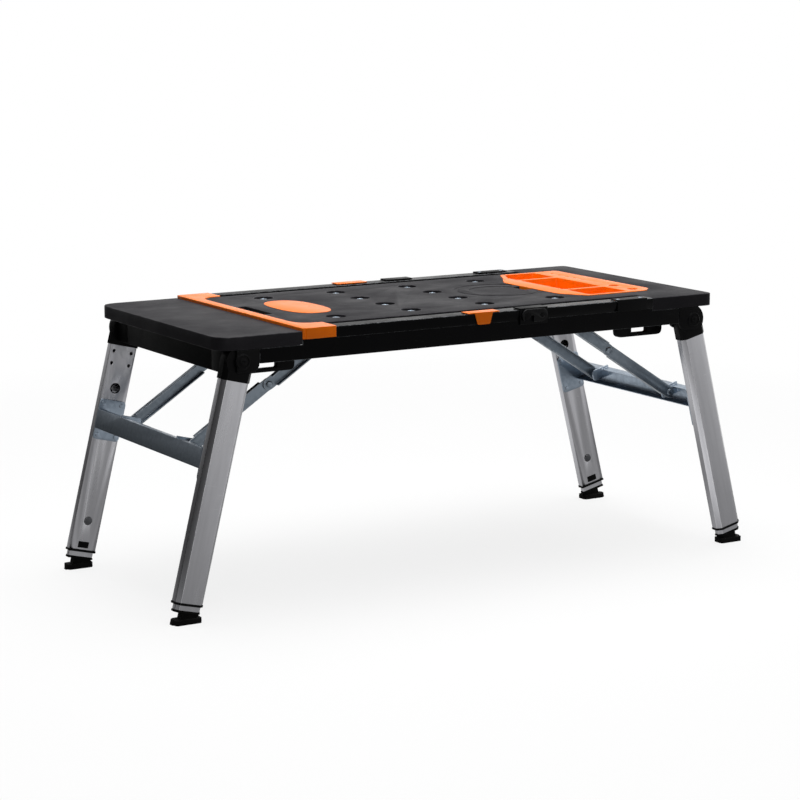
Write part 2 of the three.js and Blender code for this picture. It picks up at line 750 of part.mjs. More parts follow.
// The hinge housing: two cheeks under a top plate, a wing beside the apron, and the pin between the cheeks.
function hingeHousing(rimLow) {
  const bottom = pivotZ - HOUSING_DROP;
  const topPlate = pivotZ + LEG_WIDTH / 2 + SLEEVE_WALL + SWING_CLEARANCE;
  const rimClear = halfLength - Math.max(LEFT_CORNER_RADIUS, RIGHT_CORNER_RADIUS) - SEAT_GAP;
  const overhang = pivotX + HOUSING_OVERHANG;
  const cheek = (right, top) =>
    outline([
      [housingInnerX, bottom, HOUSING_ROUND],
      [right, bottom, HOUSING_EDGE],
      [right, top],
      [housingInnerX, top],
    ]);
  const wingOuter = halfLength - APRON_INSET;
  const wingInner = APRON_WIDTH / 2 + SEAT_GAP;
  const body = joined(
    crossPrism(cheek(rimClear, underPan), slotOuterY, cheekOuterY),
    crossPrism(cheek(overhang, rimLow - SEAT_GAP), slotOuterY, halfWidth),
    crossPrism(cheek(overhang, underPan), cheekInnerY, slotInnerY),
    box(housingInnerX, rimClear, cheekInnerY, cheekOuterY, topPlate, underPan),
    box(overhang - OVERRUN, wingOuter, cheekInnerY, slotInnerY, bottom, underPan),
    box(wingOuter - APRON_THICKNESS, wingOuter, wingInner, slotInnerY, underPan - APRON_HEIGHT, underPan),
  );
  return joined(
    body,
    axle(pivotX, pivotZ, PIN_DIAMETER, cheekInnerY, halfWidth),
    axle(pivotX, pivotZ, PIN_CAP_DIAMETER, slotOuterY, halfWidth + PIN_CAP_PROUD),
  );
}

// Leg pieces in the leg's own frame: the pin at the origin, X outboard, Y outward and Z up the leg

// The tube's section: a wide flat inner face and a narrower outer one between two chamfers.
const legPoints = [
  [-LEG_WIDTH / 2, -LEG_DEPTH / 2],
  [LEG_WIDTH / 2, -LEG_DEPTH / 2],
  [LEG_WIDTH / 2, LEG_DEPTH / 2 - LEG_CHAMFER],
  [LEG_WIDTH / 2 - LEG_CHAMFER, LEG_DEPTH / 2],
  [LEG_CHAMFER - LEG_WIDTH / 2, LEG_DEPTH / 2],
  [-LEG_WIDTH / 2, LEG_DEPTH / 2 - LEG_CHAMFER],
];
const innerPoints = offset(legPoints, -LEG_WALL - SLIDE_CLEARANCE);

// A stretch of the leg's section, grown or shrunk by a distance, between two drops below the pin.
function legPrism(points, grow, fromDrop, toDrop) {
  return prism(outline(offset(points, grow)), -toDrop, -fromDrop);
}

function legKnuckle() {
  const half = sleeveDepth / 2;
  const head = axle(0, 0, LEG_WIDTH + 2 * SLEEVE_WALL, -half, half, 2 * ROUND);
  return cut(
    joined(head, legPrism(legPoints, SLEEVE_WALL, 0, SLEEVE_LENGTH)),
    axle(0, 0, PIN_DIAMETER + 2 * PIN_CLEARANCE, -half - OVERRUN, half + OVERRUN),
    legPrism(legPoints, SEAT_GAP, SLEEVE_LENGTH - SLEEVE_SOCKET, SLEEVE_LENGTH + OVERRUN),
  );
}

// A round hole through the wall of the flat inner face.
function innerFaceHole(x, drop, diameter, depth, facets = ROUND) {
  return axle(x, -drop, diameter, -LEG_DEPTH / 2 - OVERRUN, -LEG_DEPTH / 2 + depth, facets);
}

function legTube() {
  const wallCut = LEG_WALL + SLIDE_CLEARANCE / 2;
  const windowDrop = tubeEnd - WINDOW_TO_TUBE_END;
  const rivetHoles = [-1, 1].flatMap((side) =>
    [RIVET_FIRST_DROP, RIVET_FIRST_DROP + RIVET_PITCH].map((drop) =>
      innerFaceHole((side * RIVET_SPREAD) / 2, drop, RIVET_HOLE, wallCut, SMALL_ROUND),
    ),
  );
  return cut(
    legPrism(legPoints, 0, tubeStart, tubeEnd),
    legPrism(legPoints, -LEG_WALL, tubeStart - OVERRUN, tubeEnd + OVERRUN),
    innerFaceHole(0, UPPER_HOLE_DROP, UPPER_HOLE_DIAMETER, wallCut),
    innerFaceHole(0, buttonDrop, BUTTON_DIAMETER + 2 * PIN_CLEARANCE, wallCut),
    box(
      -WINDOW_WIDTH / 2,
      WINDOW_WIDTH / 2,
      -LEG_DEPTH / 2 - OVERRUN,
      -LEG_DEPTH / 2 + wallCut,
      -windowDrop - WINDOW_HEIGHT / 2,
      -windowDrop + WINDOW_HEIGHT / 2,
    ),
    ...rivetHoles,
  );
}

// The sliding inner leg, with a hole for the button at each height step.
function innerLeg() {
  const depth = LEG_WALL + SLIDE_CLEARANCE + INNER_WALL + OVERRUN;
  const diameter = BUTTON_DIAMETER + 4 * PIN_CLEARANCE;
  const holes = Array.from({ length: HEIGHT_STEPS + 1 }, (_, step) =>
    innerFaceHole(0, buttonDrop - step * HEIGHT_STEP, diameter, depth, SMALL_ROUND),
  );
  return cut(
    legPrism(innerPoints, 0, innerStart, flangeStart - SEAT_GAP),
    legPrism(innerPoints, -INNER_WALL, innerStart - OVERRUN, flangeStart + OVERRUN),
    ...holes,
  );
}

// The button that stands in the tube's wall.
function legButton() {
  const face = -LEG_DEPTH / 2 - BUTTON_PROUD;
  return axle(0, -buttonDrop, BUTTON_DIAMETER, face, LEG_WALL - LEG_DEPTH / 2);
}

// The moulded foot: a plug in the inner leg, a flange, a notched neck and a pad that stands level.
function foot() {
  const flangeEnd = flangeStart + FOOT_FLANGE;
  const plug = legPrism(innerPoints, -INNER_WALL - SEAT_GAP, flangeStart - FOOT_PLUG, flangeEnd);
  const flange = legPrism(innerPoints, FOOT_FLANGE_LIP, flangeStart, flangeEnd);
  const neck = legPrism(innerPoints, -FOOT_FLANGE_LIP, flangeStart, legReach + FOOT_PAD);
  const notch = box(
    LEG_WIDTH / 2 - FOOT_NOTCH,
    LEG_WIDTH,
    -LEG_DEPTH,
    LEG_DEPTH,
    FOOT_PAD / 2 - legReach,
    -flangeEnd,
  );
  const padPoints = rectangle(-FOOT_LENGTH / 2, FOOT_LENGTH / 2, -FOOT_DEPTH / 2, FOOT_DEPTH / 2, FOOT_ROUND);
  const settings = { depth: FOOT_PAD, bevelEnabled: false, curveSegments: FILLET_STEPS };
  const pad = new THREE.ExtrudeGeometry(outline(padPoints), settings);
  pad.translate(-FOOT_SHIFT, 0, 0);
  const floor = new THREE.BoxGeometry(4 * FOOT_LENGTH, 4 * FOOT_DEPTH, 4 * FOOT_PAD);
  floor.translate(0, 0, -2 * FOOT_PAD);
  for (const geometry of [pad, floor]) {
    geometry.rotateY(splay);
    geometry.translate(0, 0, -legReach);
  }
  return cut(joined(plug, flange, cut(neck, notch), solid(pad)), solid(floor));
}

// The folded-sheet bar between a pair of legs: a channel on the outboard side, riveted ears and stay lugs.
function crossbar() {
  const webX = LEG_WIDTH / 2;
  const earOuterY = legY - LEG_DEPTH / 2 - SEAT_GAP;
  const earInnerY = earOuterY - EAR_SHEET;
  const top = BAR_HEIGHT / 2 - BAR_DROP;
  const bottom = top - BAR_HEIGHT;
  const earTop = EAR_HEIGHT / 2 - BAR_DROP;
  const parts = [
    box(webX - BAR_SHEET, webX, -earOuterY, earOuterY, bottom, top),
    box(webX - BAR_FLANGE, webX, -earOuterY, earOuterY, top - BAR_SHEET, top),
    box(webX - BAR_FLANGE, webX, -earOuterY, earOuterY, bottom, bottom + BAR_SHEET),
  ];
  const lugHalf = STAY_WIDTH / 2;
  const footX = -STAY_FOOT_INSET;
  const slot = staySlots().lower;
  const lugOuterY = slot.inner - SIDE_CLEARANCE;
  for (const sy of [-1, 1]) {
    const ear = span(sy * earInnerY, sy * earOuterY);
    const head = span(sy * (earInnerY - RIVET_RISE), sy * earOuterY);
    const lug = span(sy * (lugOuterY - STAY_LUG), sy * lugOuterY);
    const pin = span(sy * (lugOuterY - STAY_LUG), sy * slot.outer);
    const earPoints = rectangle(-LEG_WIDTH / 2, LEG_WIDTH / 2, earTop - EAR_HEIGHT, earTop, EAR_ROUND);
    parts.push(crossPrism(outline(earPoints), ...ear));
    for (const x of [RIVET_EDGE - LEG_WIDTH / 2, LEG_WIDTH / 2 - RIVET_EDGE]) {
      for (const z of [earTop - RIVET_EDGE, earTop - EAR_HEIGHT + RIVET_EDGE]) {
        parts.push(axle(x, z, RIVET_HEAD, ...head, SMALL_ROUND));
      }
    }
    const lugPoints = [
      [footX - lugHalf, -STAY_FOOT_DROP - lugHalf, lugHalf / 2],
      [webX, -STAY_FOOT_DROP - lugHalf],
      [webX, -STAY_FOOT_DROP + lugHalf],
      [footX - lugHalf, -STAY_FOOT_DROP + lugHalf, lugHalf / 2],
    ];
    parts.push(crossPrism(outline(lugPoints), ...lug));
    parts.push(axle(footX, -STAY_FOOT_DROP, STAY_PIN, ...pin, SMALL_ROUND));
  }
  return joined(...parts);
}

// Stays: two pressed links that meet at a knuckle, in two planes side by side

// The two planes of the links, as distances from the deck's middle line.
function staySlots() {
  const middle = STAY_SPACING / 2;
  return {
    lower: { inner: middle - SEAT_GAP / 2 - STAY_FLANGE, outer: middle - SEAT_GAP / 2 },
    upper: { inner: middle + SEAT_GAP / 2, outer: middle + SEAT_GAP / 2 + STAY_FLANGE },
  };
}

// The half width of the beam that carries the upper pivots.
function beamHalfY() {
  return staySlots().upper.outer + SIDE_CLEARANCE + STAY_LUG;
}

// The pivots of an open stay in XZ. The links' lengths let them fold into one line beside the folded leg.
function stayPivots() {
  const down = new THREE.Vector2(Math.sin(splay), -Math.cos(splay));
  const out = new THREE.Vector2(Math.cos(splay), Math.sin(splay));
  const foot = new THREE.Vector2(pivotX, pivotZ);
  foot.addScaledVector(down, STAY_FOOT_DROP).addScaledVector(out, -STAY_FOOT_INSET);
  const anchor = new THREE.Vector2(anchorX, pivotZ + STAY_FOOT_INSET);
  const open = foot.distanceTo(anchor);
  const folded = pivotX - STAY_FOOT_DROP - anchorX;
  const knuckle = anchor.clone().lerp(foot, (open - folded) / 2 / open);
  return { foot, anchor, knuckle };
}

// A pressed link: a web beside the other link, two flanges, a bore at one end and a rivet at the other.
function stayLink(bore, rivet, webSide, slot) {
  const web = webSide > 0 ? [slot.outer - STAY_SHEET, slot.outer] : [slot.inner, slot.inner + STAY_SHEET];
  const rivetY = webSide > 0 ? [web[0] - STAY_SHEET, web[1]] : [web[0], web[1] + STAY_SHEET];
  const along = rivet.clone().sub(bore);
  const length = along.length();
  const angle = along.angle();
  const flangeRoom = STAY_WIDTH / 2;
  const through = [slot.inner - OVERRUN, slot.outer + OVERRUN];
  const flanges = [-1, 1].map((side) => {
    const geometry = new THREE.BoxGeometry(length - 2 * flangeRoom, STAY_FLANGE, STAY_SHEET);
    geometry.translate(length / 2, (slot.inner + slot.outer) / 2, (side * (STAY_WIDTH - STAY_SHEET)) / 2);
    geometry.rotateY(-angle);
    geometry.translate(bore.x, 0, bore.y);
    return solid(geometry);
  });
  return cut(
    joined(
      link(bore, rivet, STAY_WIDTH, ...web),
      ...flanges,
      axle(rivet.x, rivet.y, STAY_RIVET, ...rivetY, SMALL_ROUND),
    ),
    axle(bore.x, bore.y, STAY_PIN + 2 * PIN_CLEARANCE, ...through, SMALL_ROUND),
  );
}

// The beam under the pan that carries a pair of upper stay pivots on two hanging lugs.
function stayBeam() {
  const { anchor } = stayPivots();
  const slot = staySlots().upper;
  const half = BEAM_WIDTH / 2;
  const end = beamHalfY();
  const parts = [box(anchor.x - half, anchor.x + half, -end, end, underPan - BEAM_HEIGHT, underPan)];
  for (const sy of [-1, 1]) {
    const lug = span(sy * (end - STAY_LUG), sy * end);
    const pin = span(sy * slot.inner, sy * end);
    const lugHalf = STAY_WIDTH / 2;
    const lugPoints = rectangle(anchor.x - lugHalf, anchor.x + lugHalf, anchor.y - lugHalf, underPan);
    lugPoints[0][2] = lugHalf / 2;
    lugPoints[1][2] = lugHalf / 2;
    parts.push(crossPrism(outline(lugPoints), ...lug));
    parts.push(axle(anchor.x, anchor.y, STAY_PIN, ...pin, SMALL_ROUND));
  }
  return joined(...parts);
}

// The loop that hangs under the deck: a foot by the outer rib, a web and a face with a window.
function grabLoop() {
  const y = [loopY - LOOP_WIDTH / 2, loopY + LOOP_WIDTH / 2];
  const x = [loopX - LOOP_LENGTH / 2, loopX + LOOP_LENGTH / 2];
  const bottom = underPan - LOOP_DROP;
  const webTop = Math.min(trayBottom, panBottom - RIB_DEPTH) - SWING_CLEARANCE;
  const webBottom = webTop - LOOP_WEB;
  const face = outline([
    [x[0], bottom, LOOP_ROUND],
    [x[1], bottom, LOOP_ROUND],
    [x[1], webTop],
    [x[0], webTop],
  ]);
  const windowX = [loopX - LOOP_WINDOW / 2, loopX + LOOP_WINDOW / 2];
  const window = rectangle(...windowX, bottom + LOOP_BAR, webBottom, LOOP_BAR / 2);
  return joined(
    cut(crossPrism(face, ...y), crossPrism(outline(window), y[0] - OVERRUN, y[1] + OVERRUN)),
    box(...x, y[0], loopFootY, webBottom, webTop),
    box(...x, loopFootY - LOOP_FOOT, loopFootY, webBottom, underPan),
  );
}

// Assembly

const bench = new THREE.Group();
piece(bench, "deck_pan", deckPan(), black);
piece(bench, "deck_panel", deckPanel(), charcoal);
piece(bench, "end_cap_left", leftCap(), charcoal);
piece(bench, "trim_bar", trimBar(), orange);
piece(bench, "badge_plate", badge(), orange);
piece(bench, "tool_tray", toolTray(), orange);

for (const [side, sy] of [["front", -1], ["back", 1]]) {
  const half = new THREE.Group();
  half.scale.y = sy;
  bench.add(half);
  piece(half, `side_rail_${side}`, sideRail(), blackMetal);
  piece(half, `centre_tab_${side}`, centreTab(), orange);
  piece(half, `rail_clip_${side}`, railClip(), black);
  piece(half, `latch_base_${side}`, latchBase(), black);
  piece(half, `latch_hook_${side}`, latchHook(), black);
}

for (const [end, sx, rimLow] of [["left", -1, capBottom], ["right", 1, rimBottom]]) {
  const half = new THREE.Group();
  half.scale.x = sx;
  bench.add(half);
  piece(half, `end_apron_${end}`, endApron(), black);
  piece(half, `stay_beam_${end}`, stayBeam(), galvanised);
  const barFrame = new THREE.Group();
  barFrame.position.set(pivotX, 0, pivotZ);
  barFrame.rotation.y = -splay;
  half.add(barFrame);
  piece(barFrame, `crossbar_${end}`, crossbar(), galvanised);
  for (const [side, sy] of [["front", -1], ["back", 1]]) {
    const corner = new THREE.Group();
    corner.scale.y = sy;
    half.add(corner);
    const place = `${side}_${end}`;
    const pivots = stayPivots();
    const slots = staySlots();
    piece(corner, `hinge_housing_${place}`, hingeHousing(rimLow), black);
    piece(corner, `grab_loop_${place}`, grabLoop(), black);
    const upper = stayLink(pivots.anchor, pivots.knuckle, -1, slots.upper);
    const lower = stayLink(pivots.foot, pivots.knuckle, 1, slots.lower);
    piece(corner, `stay_upper_${place}`, upper, galvanised);
    piece(corner, `stay_lower_${place}`, lower, galvanised);
    const leg = new THREE.Group();
    leg.position.set(pivotX, legY, pivotZ);
    leg.rotation.y = -splay;
    corner.add(leg);
    piece(leg, `leg_knuckle_${place}`, legKnuckle(), black);
    piece(leg, `leg_tube_${place}`, legTube(), aluminium);
    piece(leg, `inner_leg_${place}`, innerLeg(), aluminium);
    piece(leg, `foot_${place}`, foot(), rubber);
    piece(leg, `leg_button_${place}`, legButton(), black);
  }
}

export default bench;
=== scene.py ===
"""Studio scene of a low folding workbench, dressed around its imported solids.

Every solid is shown as a copy with eased edges and a finish of its own. The small fittings that the solids
leave out, such as collars, screws and rivets, are surfaces worked out here from the frame's own sizes.
"""

from __future__ import annotations

import json
import logging
import math
from dataclasses import dataclass
from enum import Enum
from typing import ClassVar

import bmesh
import bpy
import numpy as np
from mathutils import Matrix, Vector

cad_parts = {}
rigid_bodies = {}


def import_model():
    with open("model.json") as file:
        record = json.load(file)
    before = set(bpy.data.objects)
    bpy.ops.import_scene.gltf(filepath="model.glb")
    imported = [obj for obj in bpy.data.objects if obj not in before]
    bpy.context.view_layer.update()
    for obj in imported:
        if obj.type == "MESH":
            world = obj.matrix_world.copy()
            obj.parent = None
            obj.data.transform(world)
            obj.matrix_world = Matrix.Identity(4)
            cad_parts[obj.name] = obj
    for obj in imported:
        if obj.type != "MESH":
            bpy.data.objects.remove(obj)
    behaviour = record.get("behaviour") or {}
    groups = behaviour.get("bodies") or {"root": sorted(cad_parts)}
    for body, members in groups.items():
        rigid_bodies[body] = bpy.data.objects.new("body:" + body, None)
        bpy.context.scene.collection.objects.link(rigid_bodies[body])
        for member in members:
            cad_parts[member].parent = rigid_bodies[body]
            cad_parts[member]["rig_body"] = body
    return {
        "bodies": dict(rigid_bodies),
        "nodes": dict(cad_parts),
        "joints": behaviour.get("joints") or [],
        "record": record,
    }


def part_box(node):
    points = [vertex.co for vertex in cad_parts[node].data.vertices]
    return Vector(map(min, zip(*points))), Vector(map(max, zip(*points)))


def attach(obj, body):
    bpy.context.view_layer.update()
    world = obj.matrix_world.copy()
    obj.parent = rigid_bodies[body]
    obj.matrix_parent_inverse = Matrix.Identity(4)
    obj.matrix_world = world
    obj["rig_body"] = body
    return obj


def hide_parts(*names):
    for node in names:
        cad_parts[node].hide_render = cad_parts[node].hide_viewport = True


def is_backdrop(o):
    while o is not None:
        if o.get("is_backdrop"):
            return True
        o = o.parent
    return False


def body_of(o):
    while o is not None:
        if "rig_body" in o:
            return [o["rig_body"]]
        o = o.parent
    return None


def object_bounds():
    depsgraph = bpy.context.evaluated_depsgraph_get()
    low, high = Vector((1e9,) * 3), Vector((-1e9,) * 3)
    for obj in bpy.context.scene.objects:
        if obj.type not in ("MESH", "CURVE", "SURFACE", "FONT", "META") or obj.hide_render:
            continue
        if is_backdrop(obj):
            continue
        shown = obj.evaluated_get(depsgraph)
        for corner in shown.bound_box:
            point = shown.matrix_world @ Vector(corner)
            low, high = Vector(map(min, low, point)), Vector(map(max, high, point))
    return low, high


LOG = logging.getLogger("workbench")
MM = 0.001
EDGE_ATTRIBUTE = "edge"
MERGED = 0.002 * MM
NO_LENGTH = 0.001 * MM
SUNK = 0.3 * MM
LEG_SPLAY = math.radians(14.0)
UP = (0.0, 0.0, 1.0)
DOWN = (0.0, 0.0, -1.0)
WHITE = (1.0, 1.0, 1.0, 1.0)

Point = tuple[float, float, float]
Spots = list[np.ndarray]
Grid = tuple[tuple[float, ...], tuple[float, ...]]
Head = tuple[float, float]
Colour = tuple[int, int, int]
Socket = bpy.types.NodeSocket
Sockets = bpy.types.bpy_prop_collection
Value = float | tuple[float, ...] | Socket


class Way(Enum):
    """A way off the middle of the deck, with a label as the nodes' names have it."""

    @property
    def label(self) -> str:
        """Give the name in small letters."""
        return self.name.lower()


class Side(Way):
    """The two long sides of the deck, with the sign of their Y."""

    FRONT = -1
    BACK = 1


class End(Way):
    """The two ends of the deck, with the sign of their X."""

    LEFT = -1
    RIGHT = 1


def linear(colour: Colour) -> tuple[float, float, float, float]:
    """Turn a display colour of 0 to 255 into the linear colour that a shader takes.

    Args:
        colour: red, green and blue as they show on a screen.

    Returns:
        Linear red, green and blue, with an alpha of one.
    """
    share = np.asarray(colour, float) / 255.0
    light = np.where(share <= 0.04045, share / 12.92, ((share + 0.055) / 1.055) ** 2.4)
    return (float(light[0]), float(light[1]), float(light[2]), 1.0)


class Wiring:
    """Adds nodes to a shader tree and links them."""

    def __init__(self, tree: bpy.types.NodeTree) -> None:
        """Keep the tree that the nodes go into."""
        self.tree = tree

    def node(self, kind: str, inputs: dict | None = None, **settings: object) -> bpy.types.Node:
        """Add one node.

        Args:
            kind: the node's type name.
            inputs: values or sockets for its inputs, by name or place.
            settings: properties of the node itself.

        Returns:
            The new node.
        """
        made = self.tree.nodes.new(kind)
        for key, value in settings.items():
            setattr(made, key, value)
        for key, value in (inputs or {}).items():
            self.feed(made.inputs[key], value)
        return made

    def feed(self, socket: Socket, value: Value) -> None:
        """Link a socket to another, or set its value."""
        if isinstance(value, Socket):
            self.tree.links.new(value, socket)
        else:
            socket.default_value = value

    def maths(self, operation: str, first: Value, second: Value = 0.0) -> Socket:
        """Put one sum of two values, and give its result."""
        return self.node("ShaderNodeMath", {0: first, 1: second}, operation=operation).outputs[0]

    def stretch(
        self, value: Value, low: float, high: float, start: float = 0.0, end: float = 1.0
    ) -> Socket:
        """Map a value from low..high onto start..end, held at both ends."""
        inputs = {"Value": value, "From Min": low, "From Max": high, "To Min": start, "To Max": end}
        return self.node("ShaderNodeMapRange", inputs, clamp=True).outputs[0]

    def tint(self, factor: Value, first: Value, second: Value) -> Socket:
        """Blend two colours by a factor, and give the colour."""
        return self.node("ShaderNodeMix", {0: factor, 6: first, 7: second}, data_type="RGBA").outputs[2]

    def noise(self, vector: Value, scale: Value, detail: float = 2.0, rough: float = 0.5) -> Socket:
        """Put a fractal noise on a vector, and give its value."""
        inputs = {"Vector": vector, "Scale": scale, "Detail": detail, "Roughness": rough}
        return self.node("ShaderNodeTexNoise", inputs).outputs[0]

    def turned(
        self, vector: Value, angles: Point = (0.0, 0.0, 0.0), scale: Point = (1.0, 1.0, 1.0)
    ) -> Socket:
        """Turn and stretch a vector, and give the new one."""
        inputs = {"Vector": vector, "Rotation": angles, "Scale": scale}
        return self.node("ShaderNodeMapping", inputs).outputs[0]

    def effect(self, tree: bpy.types.NodeTree, vector: Value, **numbers: float) -> bpy.types.Node:
        """Place a shared effect on a vector, with this finish's own numbers by input name."""
        made = self.node("ShaderNodeGroup", node_tree=tree)
        self.feed(made.inputs["Vector"], vector)
        for key, value in numbers.items():
            made.inputs[key].default_value = value
        return made


class Effects:
    """The surface effects that several finishes share, each one a node group built once."""

    GROUND = ("Height", "Tone")

    def __init__(self) -> None:
        """Start with no group built."""
        self.made: dict[str, bpy.types.NodeTree] = {}

    def group(self, name: str) -> bpy.types.NodeTree:
        """Give a group by name, built at its first use."""
        if name not in self.made:
            self.made[name] = getattr(self, name)()
        return self.made[name]

    @staticmethod
    def opened(
        name: str, numbers: dict[str, float], results: tuple[str, ...] = ("Mask",)
    ) -> tuple[Wiring, Sockets, Sockets]:
        """Open a new group with a vector, some numbers and its results as sockets.

        Args:
            name: the group's name.
            numbers: its number inputs with their usual values.
            results: its number outputs.

        Returns:
            The wiring of the group, the sockets that it is given and those of its results.
        """
        tree = bpy.data.node_groups.new(name, "ShaderNodeTree")
        tree.interface.new_socket("Vector", in_out="INPUT", socket_type="NodeSocketVector")
        for key, usual in numbers.items():
            socket = tree.interface.new_socket(key, in_out="INPUT", socket_type="NodeSocketFloat")
            socket.default_value = usual
        for key in results:
            tree.interface.new_socket(key, in_out="OUTPUT", socket_type="NodeSocketFloat")
        wiring = Wiring(tree)
        return wiring, wiring.node("NodeGroupInput").outputs, wiring.node("NodeGroupOutput").inputs

    def moulded_grain(self) -> bpy.types.NodeTree:
        """Spark-eroded mould skin: pebbles a millimetre wide, and a slow change of tone."""
        wire, given, result = self.opened("moulded_grain", {"Scale": 900.0, "Spread": 14.0}, self.GROUND)
        cells = {"Vector": given["Vector"], "Scale": given["Scale"]}
        pebble = wire.node("ShaderNodeTexVoronoi", cells).outputs["Distance"]
        ripple = wire.noise(given["Vector"], wire.maths("MULTIPLY", given["Scale"], 0.45), detail=3.0)
        height = wire.maths("ADD", wire.maths("MULTIPLY", pebble, 0.6), wire.maths("MULTIPLY", ripple, 0.5))
        cloud = wire.noise(given["Vector"], given["Spread"], detail=5.0, rough=0.62)
        wire.feed(result["Height"], height)
        wire.feed(result["Tone"], wire.stretch(cloud, 0.3, 0.7))
        return wire.tree

    def drawn_lines(self) -> bpy.types.NodeTree:
        """Fine die lines along Z, as an extruded tube has, and a slow change of tone across them."""
        wire, given, result = self.opened("drawn_lines", {"Scale": 900.0, "Spread": 40.0}, self.GROUND)
        fine = wire.turned(given["Vector"], scale=(1.0, 1.0, 0.012))
        broad = wire.turned(given["Vector"], scale=(1.0, 1.0, 0.08))
        wire.feed(result["Height"], wire.noise(fine, given["Scale"], detail=3.0, rough=0.6))
        bands = wire.noise(broad, given["Spread"], detail=4.0, rough=0.6)
        wire.feed(result["Tone"], wire.stretch(bands, 0.3, 0.7))
        return wire.tree

    def zinc_spangle(self) -> bpy.types.NodeTree:
        """Galvanised flakes: each cell has its own tone, with a soft mottle over them."""
        wire, given, result = self.opened("zinc_spangle", {"Scale": 130.0, "Spread": 22.0}, self.GROUND)
        cells = {"Vector": given["Vector"], "Scale": given["Scale"]}
        flakes = wire.node("ShaderNodeTexVoronoi", cells).outputs["Color"]
        flake = wire.node("ShaderNodeSeparateColor", {0: flakes}).outputs[0]
        mottle = wire.noise(given["Vector"], given["Spread"], detail=6.0, rough=0.65)
        tone = wire.maths("ADD", wire.maths("MULTIPLY", flake, 0.5), wire.maths("MULTIPLY", mottle, 0.5))
        wire.feed(result["Tone"], tone)
        wire.feed(result["Height"], wire.noise(given["Vector"], scale=420.0, detail=3.0))
        return wire.tree

    def scuffs(self) -> bpy.types.NodeTree:
        """Fine scratches in two directions, only in patches where the surface has been used."""
        wire, given, result = self.opened("scuffs", {"Scale": 30.0, "Amount": 0.5})
        marks = []
        for angle, length in ((0.5, 0.06), (-0.95, 0.09)):
            lines = wire.turned(given["Vector"], (0.0, 0.35, angle), (length, 1.0, 0.6))
            strand = wire.noise(lines, wire.maths("MULTIPLY", given["Scale"], 22.0), detail=2.0, rough=0.6)
            marks.append(wire.stretch(strand, 0.66, 0.74))
        patch = wire.stretch(wire.noise(given["Vector"], given["Scale"], detail=3.0, rough=0.6), 0.48, 0.66)
        both = wire.maths("MULTIPLY", wire.maths("MAXIMUM", marks[0], marks[1]), patch)
        wire.feed(result["Mask"], wire.maths("MULTIPLY", both, given["Amount"]))
        return wire.tree

    def edge_wear(self) -> bpy.types.NodeTree:
        """Wear that follows the eased edges, broken up along them; the lighter colour there is also partly
        a painted highlight along the rounded edges.
        """
        wire, given, result = self.opened("edge_wear", {"Scale": 60.0, "Amount": 0.5})
        edge = wire.node("ShaderNodeAttribute", attribute_name=EDGE_ATTRIBUTE).outputs["Fac"]
        cloud = wire.noise(given["Vector"], given["Scale"], detail=5.0, rough=0.65)
        broken = wire.stretch(cloud, 0.36, 0.62)
        mask = wire.maths("MULTIPLY", wire.maths("MULTIPLY", edge, broken), given["Amount"])
        wire.feed(result["Mask"], mask)
        return wire.tree

    def workshop_dust(self) -> bpy.types.NodeTree:
        """A thin uneven film of dust with a few coarser specks."""
        wire, given, result = self.opened("workshop_dust", {"Scale": 9.0, "Amount": 0.3})
        film = wire.stretch(wire.noise(given["Vector"], given["Scale"], detail=7.0, rough=0.7), 0.42, 0.72)
        fine = wire.noise(given["Vector"], wire.maths("MULTIPLY", given["Scale"], 70.0), detail=1.0)
        speck = wire.maths("MULTIPLY", wire.stretch(fine, 0.68, 0.78), 0.6)
        both = wire.maths("MAXIMUM", film, speck)
        wire.feed(result["Mask"], wire.maths("MULTIPLY", both, given["Amount"]))
        return wire.tree


class Texture(Enum):
    """The ground texture of a finish, by the name of its node group."""

    GRAIN = "moulded_grain"
    LINES = "drawn_lines"
    SPANGLE = "zinc_spangle"


